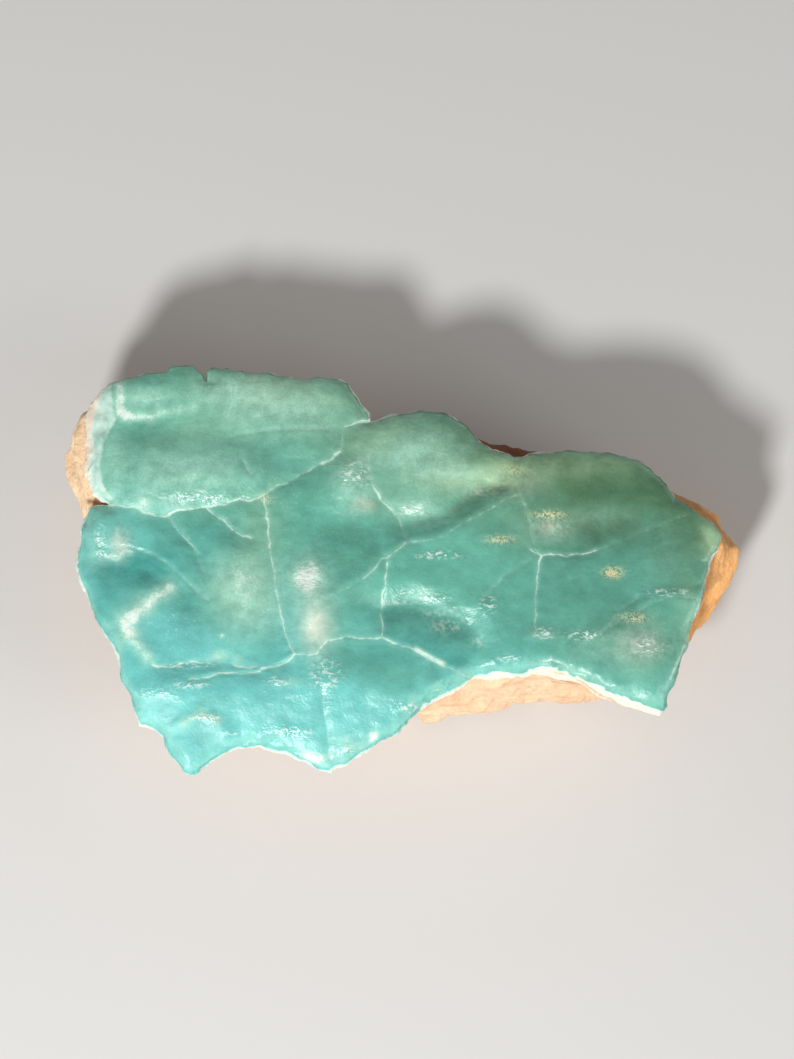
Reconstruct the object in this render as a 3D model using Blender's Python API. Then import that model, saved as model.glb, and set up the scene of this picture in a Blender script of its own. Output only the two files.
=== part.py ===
"""Rough aragonite: a wavy blue-green crust on a broken slab of tan host rock.

Two solids. aragonite_crust is the blue-green sheet that covers the slab, and
matrix_rock is the slab under it. The stone lies on the slab's flat underside
with the crust up. X runs along the stone, Y away from its front, Z up.
The lists below hold plan points in millimetres, and the meshes are in metres.
"""

import math

import bmesh
import bpy
import numpy as np
from mathutils import Vector, geometry, noise

MM = 0.001

# Driving dimensions, in millimetres
CRUST_LEVEL = 28.6
CRUST_THICKNESS = 4.4
CRUST_LEAST_THICKNESS = 1.9
CRUST_GRID = 1.9
CRUST_EDGE_STEP = 1.1
UNDERSIDE_GRID = 4.8
UNDERSIDE_INSET = 0.7
CRUST_WALL_BULGE = 0.25
CONTACT_GAP = 0.3
CELL_DEPTH = 0.7
CELL_RADIUS = 2.6
CREASE_ROUNDING = 0.7
ROCK_COLUMNS = 96
RINGS_ABOVE_WAIST = 3
WIDTH_BLEND = range(-3, 4)
ROCK_SHOULDER_SLOPE = 0.7

# Noise on the rock's sides and in the contact: how far it moves them, over what length
ROCK_ROUGHNESS = (2.6, 15.0)
ROCK_PITTING = (0.9, 5.0)
CONTACT_WAVE = (1.4, 26.0)
NOISE_SEED = 3

# Chips on the rock's sides: how steep they tilt, and how wide they are
CHIP_TILT = 0.35
CHIP_SIZE = 15.0
CHIP_SCATTER = 7.3
ROCK_OVAL = (56.0, 32.0)

# Where the plan's zero falls in the finished stone's box
PLAN_SHIFT = (0.2, -0.75)

# The outlines are read on a level plane, from a point above the stone and a
# little in front of it, so what lies lower is slid back under its reading
VIEW_LEAN = 12.0
VIEW_DISTANCE = 500.0
VIEW_CENTRE = (-1.2, 7.0)
READING_LEVEL = 27.3

# Outline of the crust, clockwise from its back left corner
BACK_EDGE = (
    (-53.6, 30.4), (-52.0, 32.0), (-50.4, 33.2), (-47.3, 34.0), (-45.0, 34.7),
    (-41.5, 34.7), (-40.0, 35.7), (-36.3, 35.95), (-35.0, 34.5), (-34.0, 32.9),
    (-33.9, 35.2), (-33.2, 35.6), (-30.2, 35.5), (-27.5, 34.7), (-23.5, 34.6),
    (-20.0, 33.95), (-16.5, 33.4), (-15.0, 33.8), (-11.5, 33.8), (-9.8, 32.6),
    (-8.0, 29.8), (-6.4, 27.7), (-5.9, 26.15), (-3.5, 26.6), (-1.3, 27.25),
    (3.2, 27.85), (7.5, 27.3), (10.0, 25.7), (13.0, 22.4), (15.0, 20.9),
    (17.5, 20.2), (19.2, 19.6), (20.5, 19.9), (23.5, 20.5), (28.0, 20.65),
    (31.5, 20.8), (35.0, 20.5), (38.5, 19.95), (40.5, 19.3), (42.3, 17.8),
    (44.2, 16.2), (46.8, 13.1),
)
RIGHT_EDGE = (
    (49.0, 10.9), (52.0, 8.8), (54.0, 7.1), (54.7, 6.0), (54.0, 3.6),
    (52.5, 1.2), (51.8, -2.4), (51.2, -5.8), (49.5, -9.3), (48.6, -13.5),
    (47.4, -16.8), (46.5, -19.8), (45.2, -22.3), (44.8, -24.4),
)
FRONT_RIGHT_EDGE = (
    (44.0, -25.2), (42.3, -25.0), (40.5, -24.3), (37.5, -23.4), (34.5, -22.5),
    (31.5, -20.6), (29.5, -19.6), (25.0, -18.8), (22.3, -18.2), (20.0, -18.8),
    (17.0, -19.2), (12.0, -19.0), (10.6, -20.3), (7.5, -22.0), (3.3, -24.2),
)
FRONT_EDGE = (
    (1.5, -26.0), (-0.2, -27.8), (-1.8, -29.3), (-4.0, -30.2), (-6.3, -31.7),
    (-8.4, -33.1), (-10.0, -34.4), (-11.6, -34.5), (-13.0, -35.4), (-14.6, -35.2),
    (-17.5, -33.5), (-20.0, -32.3), (-24.8, -31.3), (-28.0, -31.3), (-30.3, -31.8),
    (-32.5, -33.4), (-35.0, -35.2), (-36.7, -36.0), (-37.7, -35.5), (-39.7, -33.2),
    (-40.8, -30.8), (-41.3, -29.4), (-43.4, -27.9), (-45.4, -27.6),
)
LEFT_FRONT_EDGE = (
    (-46.0, -25.5), (-47.0, -21.8), (-48.7, -19.4), (-49.0, -15.5), (-49.6, -13.6),
    (-51.5, -10.7), (-53.0, -8.8), (-53.9, -6.4), (-54.5, -3.9), (-55.6, -2.4),
    (-56.2, -0.3), (-56.1, 2.2), (-55.5, 6.5),
)
LEFT_EDGE = (
    (-54.9, 8.5), (-54.2, 10.6), (-53.0, 11.2), (-51.0, 11.4), (-52.2, 12.1),
    (-53.5, 14.0), (-54.6, 17.0), (-54.7, 20.0), (-54.6, 23.5), (-55.1, 26.2),
    (-54.3, 29.0),
)

# How each edge rolls or breaks over: its readings and their height, drop, width
EDGES = (
    (BACK_EDGE, 27.2, 0.9, 1.6),
    (RIGHT_EDGE, 25.6, 0.8, 1.4),
    (FRONT_RIGHT_EDGE, 24.4, 2.2, 1.7),
    (FRONT_EDGE, 24.0, 1.0, 1.7),
    (LEFT_FRONT_EDGE, 25.6, 1.0, 1.7),
    (LEFT_EDGE, 25.4, 2.2, 1.8),
)

# Healed cracks that part the crust into low cushions
CRACKS = (
    ((-51.0, 11.4), (-45.2, 10.2), (-41.3, 9.4), (-36.3, 10.9), (-29.8, 12.0),
     (-24.3, 13.0), (-20.5, 15.2), (-14.2, 18.7), (-11.7, 20.2), (-10.6, 24.8),
     (-6.0, 26.2)),
    ((-41.0, 9.4), (-37.5, 5.2), (-35.5, 2.5)),
    ((-34.2, 10.8), (-30.0, 7.2), (-26.3, 5.5)),
    ((-24.2, 12.8), (-23.2, 4.0), (-21.8, -5.0), (-20.9, -10.0), (-19.0, -15.0)),
    ((-19.0, -15.3), (-24.5, -17.8), (-29.5, -17.2), (-36.5, -16.7), (-43.5, -17.0)),
    ((-19.0, -15.2), (-13.2, -12.7), (-6.0, -12.3), (-2.0, -12.9), (1.5, -14.1),
     (7.0, -17.1), (11.2, -18.9)),
    ((-3.6, -12.0), (-3.9, -6.0), (-2.8, 1.0)),
    ((-6.2, 20.5), (-5.3, 14.5), (-2.2, 10.5), (0.4, 5.0)),
    ((19.7, 14.0), (22.0, 6.0), (23.0, 3.0)),
    ((21.5, 3.6), (26.5, 2.5), (32.8, 2.9), (38.0, 5.4), (48.0, 9.5)),
    ((23.6, 2.4), (22.7, -6.0), (22.6, -11.0)),
    ((28.5, -17.2), (33.0, -13.0), (39.0, -5.8)),
)

# Raised lines and troughs: points, height, half width
RIDGES = (
    (((-15.0, -6.3), (-7.0, -1.7), (-4.0, 1.5), (0.5, 4.5), (6.8, 5.6),
      (13.0, 9.6), (19.5, 13.0)), 1.3, 3.4),
    (((1.0, 8.8), (5.0, 9.2), (9.0, 11.2), (14.3, 14.8), (17.0, 14.8)), -1.3, 2.2),
    (((-4.0, -6.7), (1.0, -6.2), (5.0, -7.8), (11.0, -10.2), (12.6, -13.0)), -1.4, 2.2),
    (((-3.0, -2.8), (2.5, -2.8), (9.0, -4.8), (14.0, -7.2), (17.0, -12.0)), 0.9, 2.6),
    (((-46.0, -20.6), (-34.0, -21.5), (-20.0, -20.0), (-8.0, -20.5), (1.0, -21.4)),
     0.9, 4.0),
    (((-46.0, 25.5), (-36.0, 25.0), (-26.0, 22.5), (-19.0, 19.0)), -0.9, 4.0),
    (((-50.0, 31.0), (-38.0, 32.0), (-26.0, 31.0), (-14.0, 30.5)), 0.6, 3.0),
    (((-52.0, 1.5), (-45.0, 0.5), (-39.0, -3.0), (-36.5, -6.5)), -1.1, 2.8),
    (((-43.0, -3.6), (-46.8, -8.5), (-46.6, -12.5), (-43.5, -16.0)), 0.9, 2.2),
    (((36.0, -10.5), (41.5, -6.8), (50.0, -5.0)), 0.7, 2.0),
    (((3.0, 17.5), (11.0, 17.6), (19.0, 16.5)), 0.7, 3.0),
    (((-38.5, -27.5), (-35.0, -25.8), (-31.8, -27.2), (-30.5, -29.5)), 0.5, 1.4),
    (((-41.5, 9.0), (-36.5, 4.0), (-33.0, -1.0), (-32.0, -6.0)), -0.7, 2.4),
    (((-12.0, 8.5), (-6.5, 6.0), (-3.0, 2.5)), -0.7, 2.4),
)

# Broad swellings and hollows: centre, radii, height
SWELLINGS = (
    ((-44.0, 15.5), (10.0, 5.5), 1.0),
    ((-28.0, 15.5), (8.0, 3.6), 0.7),
    ((-33.0, 6.5), (6.5, 3.2), -0.6),
    ((-47.5, 6.5), (5.0, 3.0), 0.5),
    ((-28.0, -4.0), (7.0, 6.0), 0.9),
    ((-33.0, -12.0), (6.0, 4.0), 0.4),
    ((-16.0, -9.0), (3.6, 6.0), 0.9),
    ((-16.5, -0.5), (4.0, 4.0), 0.6),
    ((-12.0, 7.5), (7.5, 4.4), -0.5),
    ((-9.5, 16.0), (4.5, 4.5), 0.9),
    ((2.0, 22.0), (7.0, 4.0), 0.8),
    ((-16.0, 24.0), (6.0, 4.0), 0.4),
    ((4.0, -12.0), (6.0, 3.0), 0.3),
    ((15.0, 2.0), (5.0, 5.0), 0.5),
    ((32.0, 13.0), (10.0, 5.5), 0.8),
    ((27.0, 4.5), (5.0, 2.4), -0.5),
    ((31.0, -4.0), (7.0, 6.0), 0.6),
    ((44.0, 4.0), (6.0, 6.0), 0.5),
    ((41.0, -15.5), (5.0, 5.0), 0.7),
    ((24.0, -12.0), (4.0, 3.0), 0.5),
)

# Outline of the rock where it meets the crust, counterclockwise from the right
ROCK_RIM_LEVEL = 23.6
ROCK_RIM = (
    (55.6, 4.6), (54.8, 7.8), (51.8, 10.6), (48.2, 12.8), (45.0, 13.5),
    (41.0, 16.8), (37.0, 18.6), (30.0, 19.2), (24.0, 19.2), (21.3, 20.6),
    (17.5, 21.8), (14.0, 22.2), (9.5, 24.4), (3.0, 26.2), (-4.0, 25.0),
    (-7.6, 27.0), (-10.8, 31.8), (-16.0, 32.0), (-24.0, 33.0), (-31.0, 33.4),
    (-34.5, 31.8), (-39.0, 34.0), (-46.0, 33.0), (-51.0, 31.8), (-54.6, 29.4),
    (-56.2, 25.0), (-56.0, 19.0), (-55.2, 14.0), (-54.2, 10.0), (-54.3, 6.0),
    (-54.8, 1.0), (-53.4, -4.0), (-51.6, -8.4), (-48.6, -12.8), (-47.6, -17.0),
    (-46.2, -20.6), (-44.8, -25.6), (-42.0, -26.6), (-39.6, -29.6), (-37.0, -33.4),
    (-33.4, -31.8), (-30.0, -30.0), (-25.0, -29.6), (-20.0, -30.4), (-13.6, -33.4),
    (-9.0, -31.4), (-4.0, -28.4), (1.0, -24.8), (5.0, -21.8), (10.0, -18.8),
    (15.0, -17.9), (22.3, -17.1), (28.5, -18.1), (34.0, -20.5), (39.0, -22.4),
    (43.6, -23.6), (45.4, -20.0), (47.0, -15.6), (49.6, -11.4), (52.4, -6.6),
    (53.6, -2.0),
)

# The rock's widest line before it is chipped, with its height
ROCK_WAIST = (
    (60.0, 4.4, 14.0), (59.4, 7.8, 14.0), (57.2, 10.0, 14.0), (55.4, 12.0, 15.0),
    (53.2, 13.4, 16.0), (50.0, 14.2, 17.0), (44.0, 17.6, 15.0), (36.0, 20.5, 14.0),
    (27.0, 21.0, 16.0), (22.0, 21.7, 20.0), (18.0, 23.4, 20.0), (13.8, 23.7, 19.0),
    (8.0, 26.0, 15.0),
    (0.0, 28.5, 15.0), (-6.0, 28.5, 15.0), (-11.0, 32.5, 16.0), (-20.0, 34.0, 15.0),
    (-30.0, 35.0, 16.0), (-42.0, 35.2, 16.0), (-50.0, 34.8, 16.0),
    (-54.8, 32.8, 16.0), (-56.8, 29.6, 16.0), (-58.5, 26.6, 16.0),
    (-59.7, 23.4, 16.0), (-59.4, 19.0, 16.0), (-58.9, 16.6, 16.0),
    (-57.6, 12.8, 16.0), (-56.4, 9.6, 15.0), (-54.2, 4.0, 14.0), (-53.0, -2.0, 13.0), (-50.5, -7.0, 12.0),
    (-47.0, -12.5, 12.0), (-45.5, -18.0, 12.0), (-43.0, -23.0, 12.0),
    (-39.0, -26.0, 12.0), (-35.5, -28.0, 12.0), (-30.0, -25.6, 12.0),
    (-22.0, -25.6, 12.0), (-14.0, -29.0, 12.0), (-8.0, -27.2, 11.0),
    (-1.5, -24.6, 10.0), (4.0, -22.0, 10.0), (12.0, -19.8, 11.0),
    (22.0, -18.4, 11.0), (31.0, -19.0, 11.0), (38.0, -20.0, 11.0),
    (42.6, -20.2, 12.0), (45.6, -16.0, 13.0), (49.9, -11.0, 14.0),
    (52.2, -8.0, 14.0), (53.8, -5.4, 14.0), (55.6, -1.7, 14.0), (58.3, 1.4, 14.0),
)

# The rock's lower edge, with its height
ROCK_FOOT = (
    (53.0, 3.0, 5.0), (50.5, 9.0, 5.0), (44.0, 14.5, 5.0), (36.0, 18.0, 4.0),
    (25.0, 19.5, 4.0), (14.0, 20.5, 4.0), (4.0, 23.5, 4.0), (-8.0, 27.0, 5.0),
    (-20.0, 30.0, 5.0), (-34.0, 31.0, 5.0), (-46.0, 29.0, 6.0), (-52.5, 22.0, 6.0),
    (-52.5, 12.0, 6.0), (-49.0, 3.0, 5.0), (-46.0, -5.0, 5.0), (-42.0, -14.0, 4.0),
    (-37.0, -20.0, 4.0), (-27.0, -22.0, 4.0), (-15.0, -23.6, 3.5),
    (-6.0, -23.6, 3.0), (0.6, -23.2, 2.6), (11.5, -21.7, 2.4), (19.0, -21.2, 2.4),
    (25.0, -20.5, 2.4), (33.0, -19.4, 2.6), (40.0, -20.4, 3.0), (45.0, -14.0, 5.0), (48.0, -8.0, 6.0),
    (51.5, -2.0, 6.0),
)

# The flat that the stone rests on
ROCK_BASE = (
    (39.0, 2.0), (37.0, 9.0), (28.0, 13.5), (14.0, 15.0), (0.0, 18.0),
    (-14.0, 22.0), (-28.0, 23.0), (-38.0, 19.0), (-41.0, 11.0), (-38.0, 1.0),
    (-34.0, -8.0), (-26.0, -14.5), (-14.0, -17.5), (-2.0, -19.0), (10.0, -18.6),
    (24.0, -17.0), (34.0, -15.0), (39.0, -7.0),
)

# Flat breaks on the rock: heading of the face, its slope, how deep it cuts
ROCK_BREAKS = (
    (42.0, 24.0, 0.6), (-34.0, 16.0, 0.6), (8.0, -48.0, 3.0), (-84.0, -3.0, 0.5),
    (-60.0, -44.0, 3.0), (-100.0, -46.0, 2.5), (-124.0, -30.0, 3.0),
    (-152.0, -22.0, 2.5), (176.0, -46.0, 4.0), (172.0, 36.0, 0.6), (146.0, -8.0, 1.2),
    (140.0, -46.0, 4.0), (116.0, 4.0, 1.4), (100.0, -40.0, 3.5), (80.0, -10.0, 2.0),
    (58.0, -44.0, 4.0), (62.0, 6.0, 1.6), (28.0, -40.0, 3.5),
)

CRUST_COLOUR = (0.16, 0.55, 0.46, 1.0)
ROCK_COLOUR = (0.82, 0.62, 0.40, 1.0)


def line_distance(points, line, closed=False):
    """Distance from each plan point to a broken line."""
    corners = list(line) + ([line[0]] if closed else [])
    nearest = np.full(len(points), np.inf)
    for start, end in zip(corners[:-1], corners[1:]):
        a = np.array(start[:2])
        run = np.array(end[:2]) - a
        share = np.clip((points - a) @ run / (run @ run), 0.0, 1.0)
        gap = points - a - share[:, None] * run
        nearest = np.minimum(nearest, np.hypot(gap[:, 0], gap[:, 1]))
    return nearest


def inside(points, outline):
    """True for each plan point inside a closed outline."""
    found = np.zeros(len(points), bool)
    x, y = points[:, 0], points[:, 1]
    for (ax, ay), (bx, by) in zip(outline, outline[1:] + outline[:1]):
        if ay == by:
            continue
        spans = (ay > y) != (by > y)
        found ^= spans & (x < ax + (y - ay) * (bx - ax) / (by - ay))
    return found


def bell(distance, width):
    return np.exp(-((distance / width) ** 2))


def fold(distance, width):
    """A crease: highest on its line, and falling off evenly on both sides."""
    return np.exp(-(np.hypot(distance, CREASE_ROUNDING) - CREASE_ROUNDING) / width)


def smooth_step(values, low, high):
    share = np.clip((values - low) / (high - low), 0.0, 1.0)
    return share * share * (3.0 - 2.0 * share)


def sheet_level(points):
    """The crust's broad form: a low dome that falls to the front, left and right."""
    x, y = points[:, 0], points[:, 1]
    level = np.full(len(points), CRUST_LEVEL)
    level -= 2.4 * smooth_step(-y, 19.0, 36.0)
    level -= 1.6 * smooth_step(x, 18.0, 54.0)
    level -= 1.0 * smooth_step(-x, 38.0, 56.0)
    level -= 0.8 * smooth_step(y, 20.0, 36.0)
    return level


def relief(points):
    """Cushions between the healed cracks, raised lines, troughs and swellings."""
    crack = np.min([line_distance(points, line) for line in CRACKS], axis=0)
    height = -CELL_DEPTH * fold(crack, CELL_RADIUS)
    for line, rise, width in RIDGES:
        height += rise * fold(line_distance(points, line), width)
    for centre, radii, rise in SWELLINGS:
        reach = np.hypot(*((points - centre) / radii).T)
        height += rise * bell(reach, 1.0)
    return height


def slid_back(readings, level):
    """Plan points of readings that lie at this height, by the view's perspective."""
    lean = math.radians(VIEW_LEAN)
    rise = level - READING_LEVEL
    placed = []
    for x, y in readings:
        slant = (y - VIEW_CENTRE[1]) * math.cos(lean) / VIEW_DISTANCE
        back = slant * VIEW_DISTANCE - rise * (math.sin(lean) + slant * math.cos(lean))
        back /= math.cos(lean) - slant * math.sin(lean)
        reach = VIEW_DISTANCE + back * math.sin(lean) - rise * math.cos(lean)
        across = (x - VIEW_CENTRE[0]) * reach / VIEW_DISTANCE
        placed.append((VIEW_CENTRE[0] + across, VIEW_CENTRE[1] + back))
    return placed


def crust_outline():
    """The crust's outline, counterclockwise."""
    clockwise = []
    for readings, level, _, _ in EDGES:
        clockwise += slid_back(readings, level)
    return clockwise[::-1]


def edge_drop(points):
    drop = np.zeros(len(points))
    for readings, level, depth, width in EDGES:
        line = slid_back(readings, level)
        share = np.clip(1.0 - line_distance(points, line) / width, 0.0, 1.0)
        drop = np.maximum(drop, depth * share)
    return drop


def contact_level(points):
    """The gently waved surface between the crust and the rock."""
    amount, length = CONTACT_WAVE
    wave = [noise.noise(Vector((x, y, 0.0)) / length) for x, y in points]
    return sheet_level(points) - CRUST_THICKNESS + amount * np.array(wave)


def crust_top_level(points):
    top = sheet_level(points) + relief(points) - edge_drop(points)
    return np.maximum(top, contact_level(points) + CRUST_LEAST_THICKNESS)


def hex_points(outline, step, clearance):
    """Points of a hexagonal net inside an outline and clear of its line."""
    low = np.min(outline, axis=0)
    high = np.max(outline, axis=0)
    rows = np.arange(low[1], high[1], step * math.sqrt(0.75))
    net = [
        (x + 0.5 * step * (row % 2), y)
        for row, y in enumerate(rows)
        for x in np.arange(low[0], high[0], step)
    ]
    net = np.array(net)
    keep = inside(net, outline) & (line_distance(net, outline, True) > clearance)
    return net[keep]


def turned_normals(ring):
    """Outward plan normals at the points of a counterclockwise ring."""
    ahead = np.roll(ring, -1, axis=0) - np.roll(ring, 1, axis=0)
    normals = np.stack([ahead[:, 1], -ahead[:, 0]], axis=1)
    return normals / np.linalg.norm(normals, axis=1)[:, None]


def sheet_faces(ring, inner):
    """Triangles that fill a ring of plan points, using the inner points too."""
    count = len(ring)
    plan = [Vector(point) for point in np.vstack([ring, inner])]
    edges = [(i, (i + 1) % count) for i in range(count)]
    found = geometry.delaunay_2d_cdt(plan, edges, [], 1, 1e-5)
    if len(found[0]) != len(plan):
        raise ValueError("the outline crosses itself")
    return found[2]


def add_points(bm, points):
    return [bm.verts.new(Vector(point) * MM) for point in points]


def add_sheet(bm, verts, faces, upward):
    for face in faces:
        corners = [verts[i] for i in face]
        bm.faces.new(corners if upward else corners[::-1])


def add_band(bm, upper, lower):
    """A closed band of faces between two rings of the same count."""
    count = len(upper)
    for i in range(count):
        j = (i + 1) % count
        bm.faces.new((upper[i], lower[i], lower[j], upper[j]))


def finish_object(bm, name, material):
    bmesh.ops.triangulate(bm, faces=bm.faces[:], quad_method="SHORT_EDGE")
    shift = Vector((PLAN_SHIFT[0], PLAN_SHIFT[1], 0.0)) * MM
    bmesh.ops.translate(bm, verts=bm.verts[:], vec=shift)
    mesh = bpy.data.meshes.new(name)
    bm.to_mesh(mesh)
    bm.free()
    mesh.materials.append(material)
    mesh.shade_smooth()
    mesh.set_sharp_from_angle(angle=math.radians(38.0))
    made = bpy.data.objects.new(name, mesh)
    bpy.context.scene.collection.objects.link(made)
    return made


def principled(name, colour, roughness):
    material = bpy.data.materials.new(name)
    material.use_nodes = True
    shader = material.node_tree.nodes["Principled BSDF"]
    shader.inputs["Base Color"].default_value = colour
    shader.inputs["Roughness"].default_value = roughness
    shader.inputs["Metallic"].default_value = 0.0
    material.diffuse_color = colour
    return material


def raised(plan, level):
    return np.column_stack([plan, level])


def clear_of(points, others, least):
    """The points that lie no nearer than least to the others, or to one kept before."""
    kept = []
    for point in points:
        near = np.array(others + kept)
        if np.min(np.hypot(*(near - point).T)) > least:
            kept.append(tuple(point))
    return kept


def make_crust():
    outline = crust_outline()
    ring = np.array(outline)
    normals = turned_normals(ring)

    # A row of points just inside the edge carries the rounded or broken brow
    brow = ring - CRUST_EDGE_STEP * normals
    brow = brow[inside(brow, outline)]
    brow = brow[line_distance(brow, outline, True) > 0.8 * CRUST_EDGE_STEP]
    brow = clear_of(brow, list(outline), 0.8)
    net = hex_points(outline, CRUST_GRID, 1.5 * CRUST_EDGE_STEP)
    net = clear_of(net, list(outline) + brow, 0.6 * CRUST_GRID)
    inner = np.array(brow + net)

    bm = bmesh.new()
    plan = np.vstack([ring, inner])
    top = add_points(bm, raised(plan, crust_top_level(plan)))
    add_sheet(bm, top, sheet_faces(ring, inner), upward=True)

    under = ring - UNDERSIDE_INSET * normals
    middle = ring + CRUST_WALL_BULGE * normals
    middle_level = 0.5 * (crust_top_level(ring) + contact_level(under))
    wall = add_points(bm, raised(middle, middle_level))
    deep = hex_points([tuple(p) for p in under], UNDERSIDE_GRID, 0.5 * UNDERSIDE_GRID)
    plan = np.vstack([under, deep])
    bottom = add_points(bm, raised(plan, contact_level(plan)))
    add_sheet(bm, bottom, sheet_faces(under, deep), upward=False)

    count = len(ring)
    add_band(bm, top[:count], wall)
    add_band(bm, wall, bottom[:count])
    return finish_object(bm, "aragonite_crust", principled("crust", CRUST_COLOUR, 0.35))


def evenly_round(line, count):
    """Points at even steps along a closed line."""
    corners = np.array(line + line[:1])
    steps = np.hypot(*np.diff(corners, axis=0).T)
    travelled = np.concatenate([[0.0], np.cumsum(steps)])
    stops = np.linspace(0.0, travelled[-1], count, endpoint=False)
    return np.stack([np.interp(stops, travelled, axis) for axis in corners.T], axis=1)


def cast(line, directions):
    """Where rays from the plan's zero cross a closed line, with the line's height."""
    hits = []
    for direction in directions:
        for start, end in zip(line, line[1:] + line[:1]):
            start, end = np.array(start), np.array(end)
            run = end - start
            crossing = run[0] * direction[1] - run[1] * direction[0]
            if abs(crossing) < 1e-9:
                continue
            share = (start[1] * direction[0] - start[0] * direction[1]) / crossing
            point = start + share * run
            if 0.0 <= share < 1.0 and point[:2] @ direction > 0.0:
                hits.append(point)
                break
    return np.array(hits)


def oval_place(point):
    """The point's heading and height on a plain oval, where the rock's noise is read."""
    heading = math.atan2(point[1], point[0])
    long_side, short_side = ROCK_OVAL
    return Vector((long_side * math.cos(heading), short_side * math.sin(heading), point[2]))


def weathered(ring, size):
    """The ring moved by a smooth noise: size is how far, and over what length."""
    amount, length = size
    pushes = [noise.noise_vector(oval_place(point) / length) for point in ring]
    return ring + amount * np.array(pushes)


def chipped(ring):
    """The ring with each patch of rock tilted its own way, as broken stone is."""
    moved = []
    for point in ring:
        place = oval_place(point) / CHIP_SIZE
        patch = noise.voronoi(place)[1][0]
        tilt = noise.noise_vector(patch * CHIP_SCATTER)
        out = Vector((point[0], point[1], 0.0)).normalized()
        push = CHIP_TILT * CHIP_SIZE * (place - patch).dot(tilt)
        moved.append(np.array(point) + push * np.array(out))
    return np.array(moved)


def broken(rings):
    """The rings pulled back to the flat breaks that cut the rock's sides."""
    cut = np.array(rings)
    for heading, slope, depth in ROCK_BREAKS:
        turn, tilt = math.radians(heading), math.radians(slope)
        normal = np.array([
            math.cos(tilt) * math.cos(turn),
            math.cos(tilt) * math.sin(turn),
            math.sin(tilt),
        ])
        reach = cut @ normal
        over = np.maximum(reach - (reach.max() - depth), 0.0)
        cut = cut - over[..., None] * normal
    return cut


def kept_as_wide(rings, plain, directions):
    """The rings slid so that, side by side, the rock stays about as wide as it was."""
    reach = (plain[..., :2] * directions).sum(axis=2).max(axis=0)
    worn = (rings[..., :2] * directions).sum(axis=2).max(axis=0)
    lost = np.mean([np.roll(reach - worn, step) for step in WIDTH_BLEND], axis=0)
    share = np.clip(np.arange(1, len(rings) + 1) / RINGS_ABOVE_WAIST, 0.0, 1.0)
    rings[..., :2] += (share[:, None] * lost)[..., None] * directions
    return rings


def rock_rings(rim):
    """Rings of the rock's side, from under the crust down to the flat it rests on."""
    directions = rim[:, :2] / np.hypot(*rim[:, :2].T)[:, None]
    waist = cast(ROCK_WAIST, directions)
    foot = cast(ROCK_FOOT, directions)
    base = cast([point + (0.0,) for point in ROCK_BASE], directions)
    rings = []
    sides = ((rim, waist, RINGS_ABOVE_WAIST), (waist, foot, 3), (foot, base, 2))
    for upper, lower, parts in sides:
        for part in range(1, parts + 1):
            share = part / parts
            rings.append((1.0 - share) * upper + share * lower)
    plain = np.array(rings)
    rings = broken([chipped(weathered(ring, ROCK_ROUGHNESS)) for ring in rings])
    rings = np.array([weathered(ring, ROCK_PITTING) for ring in rings])
    rings = kept_as_wide(rings, plain, directions)
    rings[-1][:, 2] = 0.0
    rings[:, :, 2] = np.maximum(rings[:, :, 2], 0.0)
    return rings


def make_rock():
    outline = slid_back(ROCK_RIM, ROCK_RIM_LEVEL)
    rim = evenly_round(outline, ROCK_COLUMNS)
    crust = crust_outline()
    net = hex_points([tuple(p) for p in rim], UNDERSIDE_GRID, 0.45 * UNDERSIDE_GRID)
    plan = np.vstack([rim, net])
    beyond = np.where(inside(plan, crust), 0.0, line_distance(plan, crust, True))
    level = contact_level(plan) - CONTACT_GAP - ROCK_SHOULDER_SLOPE * beyond
    top = raised(plan, level)

    bm = bmesh.new()
    upper = add_points(bm, top)
    add_sheet(bm, upper, sheet_faces(rim, net), upward=True)
    above = upper[:ROCK_COLUMNS]
    for ring in rock_rings(top[:ROCK_COLUMNS]):
        below = add_points(bm, ring)
        add_band(bm, above, below)
        above = below
    bm.faces.new(above[::-1])
    return finish_object(bm, "matrix_rock", principled("host_rock", ROCK_COLOUR, 0.85))


def main():
    for old in list(bpy.data.objects):
        bpy.data.objects.remove(old, do_unlink=True)
    bpy.context.scene.unit_settings.system = "METRIC"
    noise.seed_set(NOISE_SEED)
    make_crust()
    make_rock()


main()
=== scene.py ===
"""Rough aragonite: the finished looks of a veined blue-green crust on tan host rock.

Laid out as a Blender add-on and run as a script. Each piece starts as a copy of
its solid, is made finer with bmesh, gets its small relief and then its paint,
which the material reads. Plan readings are in millimetres, in the photo's view.
"""

import math
from types import SimpleNamespace

import bmesh
import bpy
import numpy as np
from bpy.props import FloatProperty, FloatVectorProperty, PointerProperty
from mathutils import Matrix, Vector, kdtree, noise


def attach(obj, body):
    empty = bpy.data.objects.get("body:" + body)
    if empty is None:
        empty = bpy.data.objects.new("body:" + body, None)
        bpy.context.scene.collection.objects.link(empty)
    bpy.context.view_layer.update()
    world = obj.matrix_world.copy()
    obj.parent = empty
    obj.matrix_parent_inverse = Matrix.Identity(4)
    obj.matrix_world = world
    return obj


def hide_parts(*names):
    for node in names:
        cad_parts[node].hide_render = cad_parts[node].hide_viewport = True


bl_info = {
    "name": "Rough aragonite",
    "version": (1, 0, 0),
    "blender": (4, 5, 0),
    "location": "3D View > Sidebar > Aragonite",
    "description": "Builds a rough aragonite's crust, host rock and plain studio stage",
    "category": "Add Mesh",
}

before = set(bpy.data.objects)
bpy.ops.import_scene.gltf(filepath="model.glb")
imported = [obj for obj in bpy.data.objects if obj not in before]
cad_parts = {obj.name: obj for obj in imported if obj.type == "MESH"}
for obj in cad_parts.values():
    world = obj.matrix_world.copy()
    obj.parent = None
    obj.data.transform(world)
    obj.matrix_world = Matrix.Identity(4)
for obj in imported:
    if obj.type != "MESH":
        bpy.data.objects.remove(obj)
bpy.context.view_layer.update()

MM = 0.001

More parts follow.
